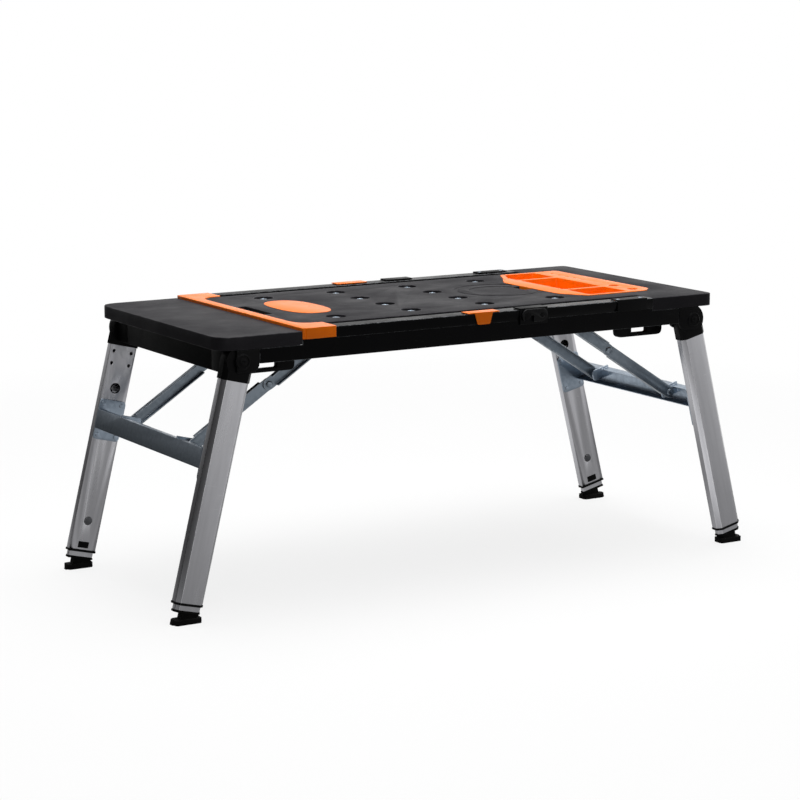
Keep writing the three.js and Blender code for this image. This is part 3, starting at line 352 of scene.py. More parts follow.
@dataclass(frozen=True)
class Finish:
    """One finish: its colours, its texture, and how much wear and dust it shows; its edge wear is partly a
    painted highlight.
    """

    BUMP_HEIGHT: ClassVar[float] = 0.3 * MM
    DULLING: ClassVar[float] = 0.15

    name: str
    slot: str
    colour: Colour
    dark: Colour
    worn: Colour
    roughness: float
    texture: Texture = Texture.GRAIN
    texture_scale: float = 900.0
    spread: float = 14.0
    relief: float = 0.25
    metallic: float = 0.0
    specular: float = 0.5
    roughness_swing: float = 0.1
    wear: float = 0.4
    scuff: float = 0.35
    scuff_scale: float = 30.0
    dust: float = 0.12
    dust_colour: Colour = (128, 124, 118)
    turn_y: float = 0.0

    def material(self, effects: Effects) -> bpy.types.Material:
        """Build the finish as a node material.

        Args:
            effects: the shared node groups.

        Returns:
            The material, made at the first call and found again at the next ones.
        """
        found = bpy.data.materials.get(self.name)
        if found:
            return found
        material = bpy.data.materials.new(self.name)
        material.use_nodes = True
        wire = Wiring(material.node_tree)
        shader = material.node_tree.nodes["Principled BSDF"]
        place = wire.node("ShaderNodeTexCoord").outputs["Object"]
        if self.turn_y:
            place = wire.turned(place, (0.0, self.turn_y, 0.0))
        texture = effects.group(self.texture.value)
        ground = wire.effect(texture, place, Scale=self.texture_scale, Spread=self.spread).outputs
        # edge mask: real wear along the eased edges, and partly a painted highlight there
        edge = wire.effect(effects.group("edge_wear"), place, Amount=self.wear).outputs["Mask"]
        scuffs = effects.group("scuffs")
        scuff = wire.effect(scuffs, place, Scale=self.scuff_scale, Amount=self.scuff).outputs["Mask"]
        dust = wire.effect(effects.group("workshop_dust"), place, Amount=self.dust).outputs["Mask"]
        # the worn colour goes on scuffs and on the eased edges, where it is partly a painted highlight
        marks = wire.maths("MAXIMUM", edge, scuff)
        colour = wire.tint(ground["Tone"], linear(self.dark), linear(self.colour))
        colour = wire.tint(marks, colour, linear(self.worn))
        colour = wire.tint(dust, colour, linear(self.dust_colour))
        low = self.roughness - self.roughness_swing
        high = self.roughness + self.roughness_swing
        rough = wire.stretch(ground["Tone"], 0.0, 1.0, high, low)
        change = wire.maths("MULTIPLY", wire.maths("SUBTRACT", dust, marks), self.DULLING)
        relief = {"Strength": self.relief, "Distance": self.BUMP_HEIGHT, "Height": ground["Height"]}
        wire.feed(shader.inputs["Base Color"], colour)
        wire.feed(shader.inputs["Roughness"], wire.maths("ADD", rough, change))
        wire.feed(shader.inputs["Normal"], wire.node("ShaderNodeBump", relief).outputs["Normal"])
        shader.inputs["Metallic"].default_value = self.metallic
        shader.inputs["Specular IOR Level"].default_value = self.specular
        return material


DECK_PLASTIC = Finish(
    "charcoal_deck_plastic", "deck_plastic", (34, 33, 36), (30, 29, 32), (70, 69, 73), 0.55,
    texture_scale=820.0, spread=9.0, relief=0.35, specular=0.06, wear=0.6, scuff=0.25, dust=0.01,
)
BLACK_PLASTIC = Finish(
    "black_moulded_plastic", "black_plastic", (8, 8, 9), (6, 6, 7), (36, 36, 38), 0.42,
    texture_scale=1000.0, relief=0.25, specular=0.06, wear=0.35, scuff=0.12, dust=0.01,
)
ORANGE_PLASTIC = Finish(
    "orange_moulded_plastic", "orange_plastic", (249, 122, 8), (245, 113, 6), (252, 145, 34), 0.3,
    texture_scale=1000.0, relief=0.06, specular=0.14, roughness_swing=0.06, wear=0.3, scuff=0.2, dust=0.0,
)
# The rail's light worn colour on its eased edges is partly real wear and partly a painted highlight along
# the rails' top edges.
RAIL_COAT = Finish(
    "black_coated_rail", "rail_metal", (4, 4, 5), (3, 3, 4), (140, 142, 146), 0.28,
    texture_scale=1400.0, relief=0.12, specular=0.05, wear=0.55, scuff=0.05, dust=0.0,
)
GALVANISED = Finish(
    "galvanised_sheet", "galvanised_steel", (160, 172, 185), (134, 146, 159), (198, 204, 211), 0.34,
    texture=Texture.SPANGLE, texture_scale=150.0, spread=22.0, relief=0.1, metallic=1.0,
    roughness_swing=0.1, wear=0.6, scuff=0.25, dust=0.02, dust_colour=(120, 120, 120),
)
LATCH_PLASTIC = Finish(
    "gloss_black_plastic", "black_plastic", (6, 6, 7), (5, 5, 6), (60, 60, 63), 0.2,
    texture_scale=1200.0, relief=0.08, specular=0.12, wear=0.5, scuff=0.1, dust=0.0,
)
STAY_STEEL = Finish(
    "dull_galvanised_sheet", "galvanised_steel", (128, 137, 146), (112, 121, 130), (205, 209, 213), 0.38,
    texture=Texture.SPANGLE, texture_scale=150.0, spread=22.0, relief=0.08, metallic=1.0,
    roughness_swing=0.07, wear=0.9, scuff=0.2, dust=0.02, dust_colour=(120, 120, 120),
)
BUTTON_STEEL = Finish(
    "turned_button", "black_plastic", (92, 93, 96), (80, 81, 84), (150, 151, 154), 0.35,
    texture_scale=1200.0, relief=0.06, metallic=1.0, roughness_swing=0.05, wear=0.6, scuff=0.1, dust=0.0,
)
RUBBER = Finish(
    "black_foot_rubber", "foot_rubber", (12, 12, 12), (9, 9, 9), (40, 40, 39), 0.72,
    texture_scale=700.0, relief=0.4, specular=0.05, wear=0.4, scuff=0.3, dust=0.05,
)


def leg_finish(end: End) -> Finish:
    """Satin anodised tube, with its die lines turned to run down the legs of one end."""
    return Finish(
        f"satin_aluminium_{end.label}", "leg_aluminium", (190, 190, 194), (172, 172, 176),
        (222, 222, 224), 0.3, texture=Texture.LINES, texture_scale=1100.0, spread=46.0, relief=0.12,
        metallic=1.0, roughness_swing=0.05, wear=0.6, scuff=0.35, dust=0.05,
        dust_colour=(150, 148, 146), turn_y=end.value * LEG_SPLAY,
    )


def merged_piece(name: str, grids: np.ndarray, wrap: tuple[bool, bool]) -> bpy.types.Object:
    """Make one mesh piece of several equal grids of points.

    Each quad joins a point to the next along both parameters. Points that fall together, as at a pole or
    where a profile closes, are merged, and the faces are turned outwards.

    Args:
        name: the piece's name.
        grids: points as (copies, rows, columns, 3).
        wrap: whether the rows and the columns close on themselves.

    Returns:
        The new object, linked to the scene.
    """
    copies, rows, columns, _ = grids.shape
    row = np.arange(rows if wrap[0] else rows - 1)
    column = np.arange(columns if wrap[1] else columns - 1)
    r, c = (part.ravel() for part in np.meshgrid(row, column, indexing="ij"))
    r_next = (r + 1) % rows
    c_next = (c + 1) % columns
    here, there = r * columns, r_next * columns
    quads = np.stack((here + c, here + c_next, there + c_next, there + c), 1)
    faces = (quads[None] + (np.arange(copies) * rows * columns)[:, None, None]).reshape(-1, 4)
    mesh = bpy.data.meshes.new(name)
    mesh.from_pydata(grids.reshape(-1, 3).tolist(), [], faces.tolist())
    shell = bmesh.new()
    shell.from_mesh(mesh)
    bmesh.ops.remove_doubles(shell, verts=shell.verts, dist=MERGED)
    bmesh.ops.dissolve_degenerate(shell, edges=shell.edges, dist=NO_LENGTH)
    bmesh.ops.recalc_face_normals(shell, faces=shell.faces)
    for face in shell.faces:
        face.smooth = True
    shell.to_mesh(mesh)
    shell.free()
    made = bpy.data.objects.new(name, mesh)
    bpy.context.scene.collection.objects.link(made)
    return made


def lathed(profile: np.ndarray, centres: np.ndarray, axis: Point, columns: int = 24) -> np.ndarray:
    """Turn a profile about an axis at several places.

    Args:
        profile: pairs of a radius and a height along the axis, in metres.
        centres: where the copies stand, as (copies, 3).
        axis: the axis that they share.
        columns: points round each turn.

    Returns:
        Grids of points as (copies, rows, columns, 3).
    """
    along = np.asarray(axis, float) / np.linalg.norm(axis)
    side = np.cross(along, np.eye(3)[np.argmin(np.abs(along))])
    side /= np.linalg.norm(side)
    angle = np.linspace(0.0, 2.0 * np.pi, columns, endpoint=False)[:, None]
    ring = np.cos(angle) * side + np.sin(angle) * np.cross(along, side)
    radius, height = np.asarray(profile, float).T
    shape = radius[:, None, None] * ring + height[:, None, None] * along
    return np.asarray(centres, float)[:, None, None, :] + shape


def socket_head(radius: float, rise: float) -> np.ndarray:
    """Give the profile of a low round head with a socket in its middle, sunk a little at its foot."""
    brim, shoulder, floor = 0.35, 1.15, 0.25
    turn = np.linspace(0.0, shoulder, 6)
    crown = np.stack((radius * np.cos(turn), rise * (brim + (1.0 - brim) * np.sin(turn))), 1)
    foot = [(0.0, -SUNK), (radius, -SUNK)]
    socket = [(0.37 * radius, 0.9 * rise), (0.34 * radius, floor * rise), (0.0, floor * rise)]
    return np.concatenate((foot, crown, socket))


def rivet_head(radius: float, rise: float) -> np.ndarray:
    """Give the profile of a plain domed head, sunk a little at its foot."""
    turn = np.linspace(0.0, np.pi / 2.0, 7)
    crown = np.stack((radius * np.cos(turn), rise * np.sin(turn)), 1)
    return np.concatenate(([(0.0, -SUNK), (radius, -SUNK)], crown))


def ring_section(radius: float, thick: float) -> np.ndarray:
    """Give the profile of a round ring that lies half sunk in the surface."""
    turn = np.linspace(0.0, 2.0 * np.pi, 10, endpoint=False)
    return np.stack((radius + thick * np.cos(turn), thick * np.sin(turn)), 1)


def grown_outlines(corners: np.ndarray, amounts: np.ndarray, steps: int = 5) -> np.ndarray:
    """Grow a convex outline by several amounts, with round corners outwards and sharp ones inwards.

    Args:
        corners: the outline's corners in turn, as (corners, 2).
        amounts: how far each copy stands out, below zero where it stands in.
        steps: points at each corner.

    Returns:
        The points as (amounts, corners * steps, 2).
    """
    ahead = np.roll(corners, -1, 0) - corners
    leaving = np.arctan2(ahead[:, 1], ahead[:, 0]) - np.pi / 2.0
    coming = np.roll(leaving, 1)
    turn = (leaving - coming + np.pi) % (2.0 * np.pi) - np.pi
    angle = coming[:, None] + turn[:, None] * np.linspace(0.0, 1.0, steps)
    way = np.stack((np.cos(angle), np.sin(angle)), -1)
    first, last = way[:, :1], way[:, -1:]
    mitre = (first + last) / (1.0 + (first * last).sum(-1, keepdims=True))
    reach = amounts[:, None, None, None]
    grown = corners[:, None] + reach * np.where(reach < 0.0, mitre, way)
    return grown.reshape(len(amounts), -1, 2)


class EasedSkin:
    """Makes the shown copy of a solid: corners welded, flat faces joined, and hard edges rounded."""

    WELD = 0.05 * MM
    FLAT = math.radians(0.6)
    HARD = math.radians(31.0)
    ROOM = 2.7
    SEGMENTS = 3
    SHARES = (1.0, 0.75, 0.55, 0.4, 0.28, 0.18, 0.1)
    MOST_FOLDED = 3.0 * MM * MM
    TRIES = 6
    BESIDE = 2.5
    TIGHTER = 0.5

    def __init__(self, ease: float) -> None:
        """Keep the width of the rounding, in metres."""
        self.ease = ease

    @staticmethod
    def reach(spots: np.ndarray, ends: np.ndarray) -> np.ndarray:
        """Give how far each spot lies from each edge.

        Args:
            spots: the spots, as (spots, 3).
            ends: both ends of every edge, as (edges, 2, 3).

        Returns:
            The distances as (spots, edges), in metres.
        """
        start = ends[:, 0]
        way = ends[:, 1] - start
        off = spots[:, None] - start
        share = np.clip((off * way).sum(-1) / (way**2).sum(-1), 0.0, 1.0)
        return np.linalg.norm(off - share[..., None] * way, axis=-1)

    def spacing(self, ends: np.ndarray, marks: np.ndarray) -> np.ndarray:
        """Give how far each edge lies from the nearest other one that shares no corner with it.

        Args:
            ends: both ends of every edge, as (edges, 2, 3).
            marks: the numbers of those two corners, as (edges, 2).

        Returns:
            One distance for each edge, in metres.
        """
        near = np.minimum(self.reach(ends[:, 0], ends), self.reach(ends[:, 1], ends))
        near = np.minimum(near, near.T)
        near[(marks[:, None, :, None] == marks[None, :, None, :]).any((-1, -2))] = np.inf
        return near.min(1)

    def flats(self, shell: bmesh.types.BMesh) -> list[bmesh.types.BMEdge]:
        """List the edges that run across a flat face."""
        return [edge for edge in shell.edges if edge.calc_face_angle(1.0) < self.FLAT]

    def join_flats(self, shell: bmesh.types.BMesh) -> None:
        """Join the triangles of every flat face, so that only short edges tie a hole to its rim."""
        bmesh.ops.dissolve_limit(shell, angle_limit=self.FLAT, verts=shell.verts, edges=shell.edges)
        bmesh.ops.triangulate(shell, faces=shell.faces, quad_method="BEAUTY", ngon_method="BEAUTY")
        bmesh.ops.beautify_fill(shell, faces=shell.faces, edges=self.flats(shell), method="ANGLE")
        for edge in sorted(self.flats(shell), key=bmesh.types.BMEdge.calc_length, reverse=True):
            if edge.is_valid and len(edge.link_faces) == 2:
                one, other = edge.link_faces
                shared = [side for side in one.edges if other in side.link_faces]
                if len(set(one.verts) & set(other.verts)) == len(shared) + 1:
                    bmesh.utils.face_join((one, other))

    def prepared(self, source: bpy.types.Mesh, name: str, width: float, tight: Spots) -> bpy.types.Mesh:
        """Weld a copy of the mesh, join its flat faces and weigh each hard edge by the room beside it.

        Args:
            source: the solid's mesh.
            name: the new mesh's name.
            width: the full width of the rounding.
            tight: for each try before, the spots where a face folded over.

        Returns:
            The mesh, ready to be rounded.
        """
        shell = bmesh.new()
        shell.from_mesh(source)
        bmesh.ops.remove_doubles(shell, verts=shell.verts, dist=self.WELD)
        self.join_flats(shell)
        weight = shell.edges.layers.float.new("bevel_weight_edge")
        shell.verts.index_update()
        hard = [edge for edge in shell.edges if edge.calc_face_angle(0.0) > self.HARD]
        ends = np.array([[vert.co for vert in edge.verts] for edge in hard])
        marks = np.array([[vert.index for vert in edge.verts] for edge in hard])
        shares = np.minimum(1.0, self.spacing(ends, marks) / (self.ROOM * width))
        for spots in tight:
            shares[self.reach(spots, ends).min(0) < self.BESIDE * width] *= self.TIGHTER
        for edge, share in zip(hard, shares.tolist()):
            edge[weight] = share
        for face in shell.faces:
            face.smooth = True
        mesh = bpy.data.meshes.new(name)
        shell.to_mesh(mesh)
        shell.free()
        return mesh

    def rounded(self, source: bpy.types.Mesh, name: str, width: float, tight: Spots) -> bpy.types.Mesh:
        """Round the hard edges of a mesh to a width, marking the new faces with the second material."""
        blank = bpy.data.objects.new(name, self.prepared(source, name, width, tight))
        bpy.context.scene.collection.objects.link(blank)
        blank.data.materials.append(None)
        blank.data.materials.append(None)
        bevel = blank.modifiers.new("ease", "BEVEL")
        bevel.limit_method = "WEIGHT"
        bevel.width = width
        bevel.segments = self.SEGMENTS
        bevel.material = 1
        bevel.harden_normals = True
        bevel.use_clamp_overlap = False
        mesh = bpy.data.meshes.new_from_object(blank.evaluated_get(bpy.context.evaluated_depsgraph_get()))
        bpy.data.objects.remove(blank)
        return mesh

    @staticmethod
    def folds(mesh: bpy.types.Mesh) -> tuple[np.ndarray, float]:
        """Find the triangles that face against their own polygon.

        Args:
            mesh: the mesh to look through.

        Returns:
            The corners of those triangles as (corners, 3), and their area in square metres.
        """
        mesh.calc_loop_triangles()
        points = np.zeros(3 * len(mesh.vertices), np.float32)
        corners = np.zeros(3 * len(mesh.loop_triangles), np.int32)
        owners = np.zeros(len(mesh.loop_triangles), np.int32)
        ways = np.zeros(3 * len(mesh.polygons), np.float32)
        mesh.vertices.foreach_get("co", points)
        mesh.loop_triangles.foreach_get("vertices", corners)
        mesh.loop_triangles.foreach_get("polygon_index", owners)
        mesh.polygons.foreach_get("normal", ways)
        placed = points.reshape(-1, 3)[corners.reshape(-1, 3)]
        first, second, third = placed.transpose(1, 0, 2)
        normal = np.cross(second - first, third - first) / 2.0
        against = (normal * ways.reshape(-1, 3)[owners]).sum(1) < 0.0
        return placed[against].reshape(-1, 3), float(np.linalg.norm(normal[against], axis=1).sum())

    def settled(self, source: bpy.types.Mesh, name: str, width: float) -> tuple[bpy.types.Mesh, bool]:
        """Round the edges, at each new try less beside the faces that folded over at the last one.

        Args:
            source: the solid's mesh.
            name: the new mesh's name.
            width: the full width of the rounding.

        Returns:
            The last try's mesh, and whether it is sound.
        """
        tight: Spots = []
        for _ in range(self.TRIES):
            eased = self.rounded(source, name, width, tight)
            spots, area = self.folds(eased)
            if area < self.MOST_FOLDED:
                return eased, True
            tight.append(spots)
        return eased, False

    def copy(self, node: bpy.types.Object, name: str) -> bpy.types.Object:
        """Make the eased copy of a node, as wide as its faces allow without folding over.

        Args:
            node: the solid's object.
            name: the copy's name.

        Returns:
            The copy, with the attribute that marks its rounded edges.
        """
        for share in self.SHARES:
            eased, sound = self.settled(node.data, name, share * self.ease)
            if sound:
                break
        made = bpy.data.objects.new(name, eased)
        bpy.context.scene.collection.objects.link(made)
        kind = np.zeros(len(eased.polygons), np.int32)
        eased.polygons.foreach_get("material_index", kind)
        mark = eased.attributes.new(EDGE_ATTRIBUTE, "FLOAT", "FACE")
        mark.data.foreach_set("value", kind.astype(np.float32))
        eased.polygons.foreach_set("material_index", np.zeros(len(kind), np.int32))
        eased.materials.clear()
        LOG.info("%s: eased by %.2f mm", name, share * self.ease / MM)
        return made


class Bench:
    """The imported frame, with what the sub-assemblies ask of it."""

    def __init__(self) -> None:
        """Load the frame and note the solids' own box."""
        self.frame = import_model()
        self.cad_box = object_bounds()
        self.effects = Effects()
        self.joints = {joint["name"]: joint for joint in self.frame["joints"]}

    def body(self, node: str) -> str:
        """Give the body that a node rides on."""
        return body_of(self.frame["nodes"][node])[0]

    @staticmethod
    def box(node: str) -> tuple[np.ndarray, np.ndarray]:
        """Give a node's lowest and highest corners."""
        low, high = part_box(node)
        return np.array(low), np.array(high)

    def pivot(self, joint: str) -> np.ndarray:
        """Give the place of a hinge."""
        return np.array(self.joints[joint]["pos_m"])

    def dress(self, node: str, finish: Finish, ease_mm: float) -> None:
        """Show a solid as its eased copy in a finish.

        Args:
            node: the solid's name.
            finish: what it is made of.
            ease_mm: the rounding of its edges, in millimetres.
        """
        piece = EasedSkin(ease_mm * MM).copy(self.frame["nodes"][node], f"{node}_shown")
        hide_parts(node)
        self.fit(piece, finish, self.body(node))

    def fit(self, piece: bpy.types.Object, finish: Finish, body: str) -> None:
        """Give a piece its finish and the body that it rides on, and report it."""
        piece.data.materials.append(finish.material(self.effects))
        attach(piece, body)
        LOG.info("%s: %d faces on %s", piece.name, len(piece.data.polygons), body)


@dataclass
class Deck:
    """The deck: its panel, cap, trim, tray, rails and what is fixed to them."""

    bench: Bench
    recess_depth: float = 5.4 * MM
    rib_depth: float = 16.0 * MM
    inner_recesses: Grid = ((-85.0, 85.0), (-150.0, -50.0, 50.0, 150.0))
    outer_recesses: Grid = ((-252.0, 252.0), (-150.0, 150.0))
    pan_points: Grid = ((-413.0, -177.0, -59.0, 59.0, 177.0), (-150.0, 0.0, 150.0))
    clip_spread: float = 0.38
    panel_head: Head = (8.5 * MM, 3.6 * MM)
    pan_head: Head = (5.5 * MM, 2.6 * MM)
    clip_head: Head = (4.2 * MM, 0.35 * MM)

    def build(self) -> None:
        """Dress the pieces that lie along the deck and fit its screws."""
        show = self.bench.dress
        show("deck_panel", DECK_PLASTIC, ease_mm=1.5)
        show("end_cap_left", DECK_PLASTIC, ease_mm=1.5)
        show("deck_pan", BLACK_PLASTIC, ease_mm=0.6)
        show("trim_bar", ORANGE_PLASTIC, ease_mm=1.4)
        show("badge_plate", ORANGE_PLASTIC, ease_mm=0.7)
        show("tool_tray", ORANGE_PLASTIC, ease_mm=1.2)
        for side in Side:
            name = side.label
            show(f"side_rail_{name}", RAIL_COAT, ease_mm=1.2)
            show(f"centre_tab_{name}", ORANGE_PLASTIC, ease_mm=1.2)
            show(f"rail_clip_{name}", BLACK_PLASTIC, ease_mm=1.0)
            show(f"latch_base_{name}", BLACK_PLASTIC, ease_mm=0.7)
            show(f"latch_hook_{name}", LATCH_PLASTIC, ease_mm=1.2)
        for end in End:
            name = end.label
            show(f"end_apron_{name}", BLACK_PLASTIC, ease_mm=1.0)
            show(f"stay_beam_{name}", GALVANISED, ease_mm=0.6)
        self.panel_screws()
        self.pan_screws()
        self.clip_screws()

    @staticmethod
    def spread(grid: Grid, level: float) -> np.ndarray:
        """Give the points of a grid of X and Y in millimetres, all at one level in metres."""
        flat = np.stack(np.meshgrid(*grid), -1).reshape(-1, 2) * MM
        return np.column_stack((flat, np.full(len(flat), level)))

    def panel_screws(self) -> None:
        """Set a zinc screw at the bottom of every counterbore of the panel."""
        level = self.bench.box("deck_panel")[1][2] - self.recess_depth
        rows = [self.spread(grid, level) for grid in (self.inner_recesses, self.outer_recesses)]
        grids = lathed(socket_head(*self.panel_head), np.concatenate(rows), UP)
        self.bench.fit(merged_piece("panel_screws", grids, (False, True)), GALVANISED, "deck")

    def pan_screws(self) -> None:
        """Set the screws that hold the pan, between its ribs."""
        level = self.bench.box("deck_pan")[0][2] + self.rib_depth
        grids = lathed(socket_head(*self.pan_head), self.spread(self.pan_points, level), DOWN)
        self.bench.fit(merged_piece("pan_screws", grids, (False, True)), GALVANISED, "deck")

    def clip_screws(self) -> None:
        """Set two flush screws in the top of each rail clip."""
        low, high = np.array([self.bench.box(f"rail_clip_{side.label}") for side in Side]).swapaxes(0, 1)
        middle = (low + high) / 2.0
        reach = np.array([(sign * self.clip_spread, 0.0, 0.5) for sign in (-1, 1)])
        centres = (middle[:, None] + reach * (high - low)[:, None]).reshape(-1, 3)
        grids = lathed(rivet_head(*self.clip_head), centres, UP)
        self.bench.fit(merged_piece("clip_screws", grids, (False, True)), GALVANISED, "deck")


@dataclass
class LegFrame:
    """One end's folding frame: two telescopic legs, their crossbar and the stays that brace them."""

    bench: Bench
    end: End
    half_width: float = 28.5 * MM
    half_depth: float = 11.5 * MM
    chamfer: float = 8.0 * MM
    upper_hole: float = 124.0 * MM
    stop_rise: float = 13.0 * MM
    stop_half: tuple[float, float] = (10.2 * MM, 5.1 * MM)
    sheet: float = 2.4 * MM
    hole_ring: Head = (9.6 * MM, 1.1 * MM)
    pin_ring: Head = (12.6 * MM, 1.2 * MM)
    pin_head: Head = (7.0 * MM, 1.8 * MM)
    stay_head: Head = (6.4 * MM, 2.2 * MM)
    pin_columns: int = 36

    def build(self) -> None:
        """Dress both legs of this end, its crossbar and its stays, and fit the small parts."""
        show = self.bench.dress
        end = self.end.label
        aluminium = leg_finish(self.end)
        show(f"crossbar_{end}", GALVANISED, ease_mm=0.5)
        for side in Side:
            place = f"{side.label}_{end}"
            show(f"hinge_housing_{place}", BLACK_PLASTIC, ease_mm=1.4)
            show(f"grab_loop_{place}", BLACK_PLASTIC, ease_mm=0.8)
            show(f"leg_knuckle_{place}", BLACK_PLASTIC, ease_mm=0.6)
            show(f"leg_tube_{place}", aluminium, ease_mm=0.7)
            show(f"inner_leg_{place}", aluminium, ease_mm=0.6)
            show(f"foot_{place}", RUBBER, ease_mm=0.45)
            show(f"leg_button_{place}", BUTTON_STEEL, ease_mm=0.6)
            show(f"stay_upper_{place}", STAY_STEEL, ease_mm=0.5)
            show(f"stay_lower_{place}", STAY_STEEL, ease_mm=0.5)
            self.stay_rivets(side, place)
        self.collars()
        self.hole_rings()
        self.stop_tabs()
        self.pin_caps()

    def laid(self, side: Side, points: np.ndarray) -> np.ndarray:
        """Carry points from a leg's own space into the frame.

        Args:
            side: which of the two legs.
            points: outboard, outward and up the leg from its pin, in metres.

        Returns:
            The points in the frame.
        """
        low, high = self.bench.box(f"leg_tube_{side.label}_{self.end.label}")
        pin = self.bench.pivot(f"leg_fold_{self.end.label}")
        pin[1] = (low[1] + high[1]) / 2.0
        lean = self.end.value * math.sin(LEG_SPLAY)
        ways = np.array([
            (self.end.value * math.cos(LEG_SPLAY), 0.0, math.sin(LEG_SPLAY)),
            (0.0, side.value, 0.0),
            (-lean, 0.0, math.cos(LEG_SPLAY)),
        ])
        return pin + points @ ways

    def tube_end(self) -> float:
        """Give how far down the leg its outer tube ends."""
        end = self.end.label
        low = self.bench.box(f"leg_tube_front_{end}")[0][2] + self.half_width * math.sin(LEG_SPLAY)
        return (self.bench.pivot(f"leg_fold_{end}")[2] - low) / math.cos(LEG_SPLAY)

    def collars(self) -> None:
        """Wrap a thin moulded collar round the open end of each tube."""
        wide, deep, cut = self.half_width, self.half_depth, self.chamfer
        corners = np.array([
            (-wide, -deep), (wide, -deep), (wide, deep - cut),
            (wide - cut, deep), (cut - wide, deep), (-wide, deep - cut),
        ])
        section = np.array([
            (0.05, -2.8), (0.8, -2.6), (1.2, -1.9), (1.2, 0.9), (0.8, 1.6),
            (0.1, 1.8), (-1.7, 1.8), (-1.7, 0.1), (0.05, 0.1),
        ]) * MM
        flat = grown_outlines(corners, section[:, 0])
        drop = np.broadcast_to(-self.tube_end() - section[:, 1, None], flat.shape[:2])
        local = np.concatenate((flat, drop[..., None]), -1)
        grids = np.stack([self.laid(side, local) for side in Side])
        name = self.end.label
        piece = merged_piece(f"tube_collars_{name}", grids, (True, True))
        self.bench.fit(piece, BLACK_PLASTIC, f"leg_frame_{name}")

    def hole_rings(self) -> None:
        """Set a ring round the upper hole of each tube's inner face."""
        name = self.end.label
        section = ring_section(*self.hole_ring)
        holes = np.array((0.0, -self.half_depth, -self.upper_hole))
        grids = [lathed(section, self.laid(side, holes)[None], (0.0, -side.value, 0.0)) for side in Side]
        piece = merged_piece(f"hole_rings_{name}", np.concatenate(grids), (True, True))
        self.bench.fit(piece, BLACK_PLASTIC, f"leg_frame_{name}")

    def stop_tabs(self) -> None:
        """Plug the small window near the open end of each tube's inner face, which the stop stands in."""
        name = self.end.label
        corners = np.array([(-1.0, -1.0), (1.0, -1.0), (1.0, 1.0), (-1.0, 1.0)]) * self.stop_half
        section = np.array([(0.0, 0.8), (0.6, 0.8), (1.0, 0.65), (1.2, 0.3), (1.2, -0.3)]) * MM
        ring = grown_outlines(corners, section[:, 0])
        pole = np.zeros_like(ring[:1])
        flat = np.concatenate((pole, ring, pole))
        proud = np.pad(section[:, 1], 1, mode="edge")
        out = np.broadcast_to(-self.half_depth - proud[:, None], flat.shape[:2])
        local = np.stack((flat[..., 0], out, flat[..., 1] - self.tube_end() + self.stop_rise), -1)
        grids = np.stack([self.laid(side, local) for side in Side])
        piece = merged_piece(f"stop_tabs_{name}", grids, (False, True))
        self.bench.fit(piece, BLACK_PLASTIC, f"leg_frame_{name}")

    def pin_caps(self) -> None:
        """Finish the face of each hinge pin's cap with a raised rim and a socket."""
        name = self.end.label
        rims, heads = [], []
        for side in Side:
            centre = self.bench.pivot(f"leg_fold_{name}")
            low, high = self.bench.box(f"hinge_housing_{side.label}_{name}")
            centre[1] = high[1] if side is Side.BACK else low[1]
            way = (0.0, side.value, 0.0)
            rims.append(lathed(ring_section(*self.pin_ring), centre[None], way, self.pin_columns))
            heads.append(lathed(socket_head(*self.pin_head), centre[None], way, self.pin_columns))
        rim = merged_piece(f"pin_cap_rims_{name}", np.concatenate(rims), (True, True))
        head = merged_piece(f"pin_cap_heads_{name}", np.concatenate(heads), (False, True))
        self.bench.fit(rim, BLACK_PLASTIC, "deck")
        self.bench.fit(head, BLACK_PLASTIC, "deck")

    def stay_rivets(self, side: Side, place: str) -> None:
        """Set the rivet heads at a stay's middle knuckle and at both of its ends."""
        anchor = self.bench.pivot(f"stay_upper_swing_{place}")
        foot = self.bench.pivot(f"stay_lower_swing_{place}")
        upper = np.array(self.bench.box(f"stay_upper_{place}"))
        lower = np.array(self.bench.box(f"stay_lower_{place}"))
        beam = self.bench.box(f"stay_beam_{self.end.label}")
        near, far = upper[:, 0] if self.end is End.RIGHT else upper[::-1, 0]
        share = (far - anchor[0] + near - anchor[0]) / (foot[0] - anchor[0])
        knuckle = anchor + share * (foot - anchor)
        inside, outside = (0, 1) if side is Side.BACK else (1, 0)
        head = rivet_head(*self.stay_head)
        out = (0.0, side.value, 0.0)
        back = (0.0, -side.value, 0.0)
        step = side.value * 2.0 * self.sheet
        rows = (
            ("knuckle_outer", knuckle, upper[inside, 1] + step, out, f"stay_upper_{place}"),
            ("knuckle_inner", knuckle, lower[outside, 1] - step, back, f"stay_lower_{place}"),
            ("foot", foot, lower[outside, 1], out, f"leg_frame_{self.end.label}"),
            ("anchor", anchor, beam[outside][1], out, "deck"),
        )
        for label, at, level, way, body in rows:
            centre = np.array((at[0], level, at[2]))
            grids = lathed(head, centre[None], way)
            piece = merged_piece(f"stay_rivet_{label}_{place}", grids, (False, True))
            self.bench.fit(piece, STAY_STEEL, body)


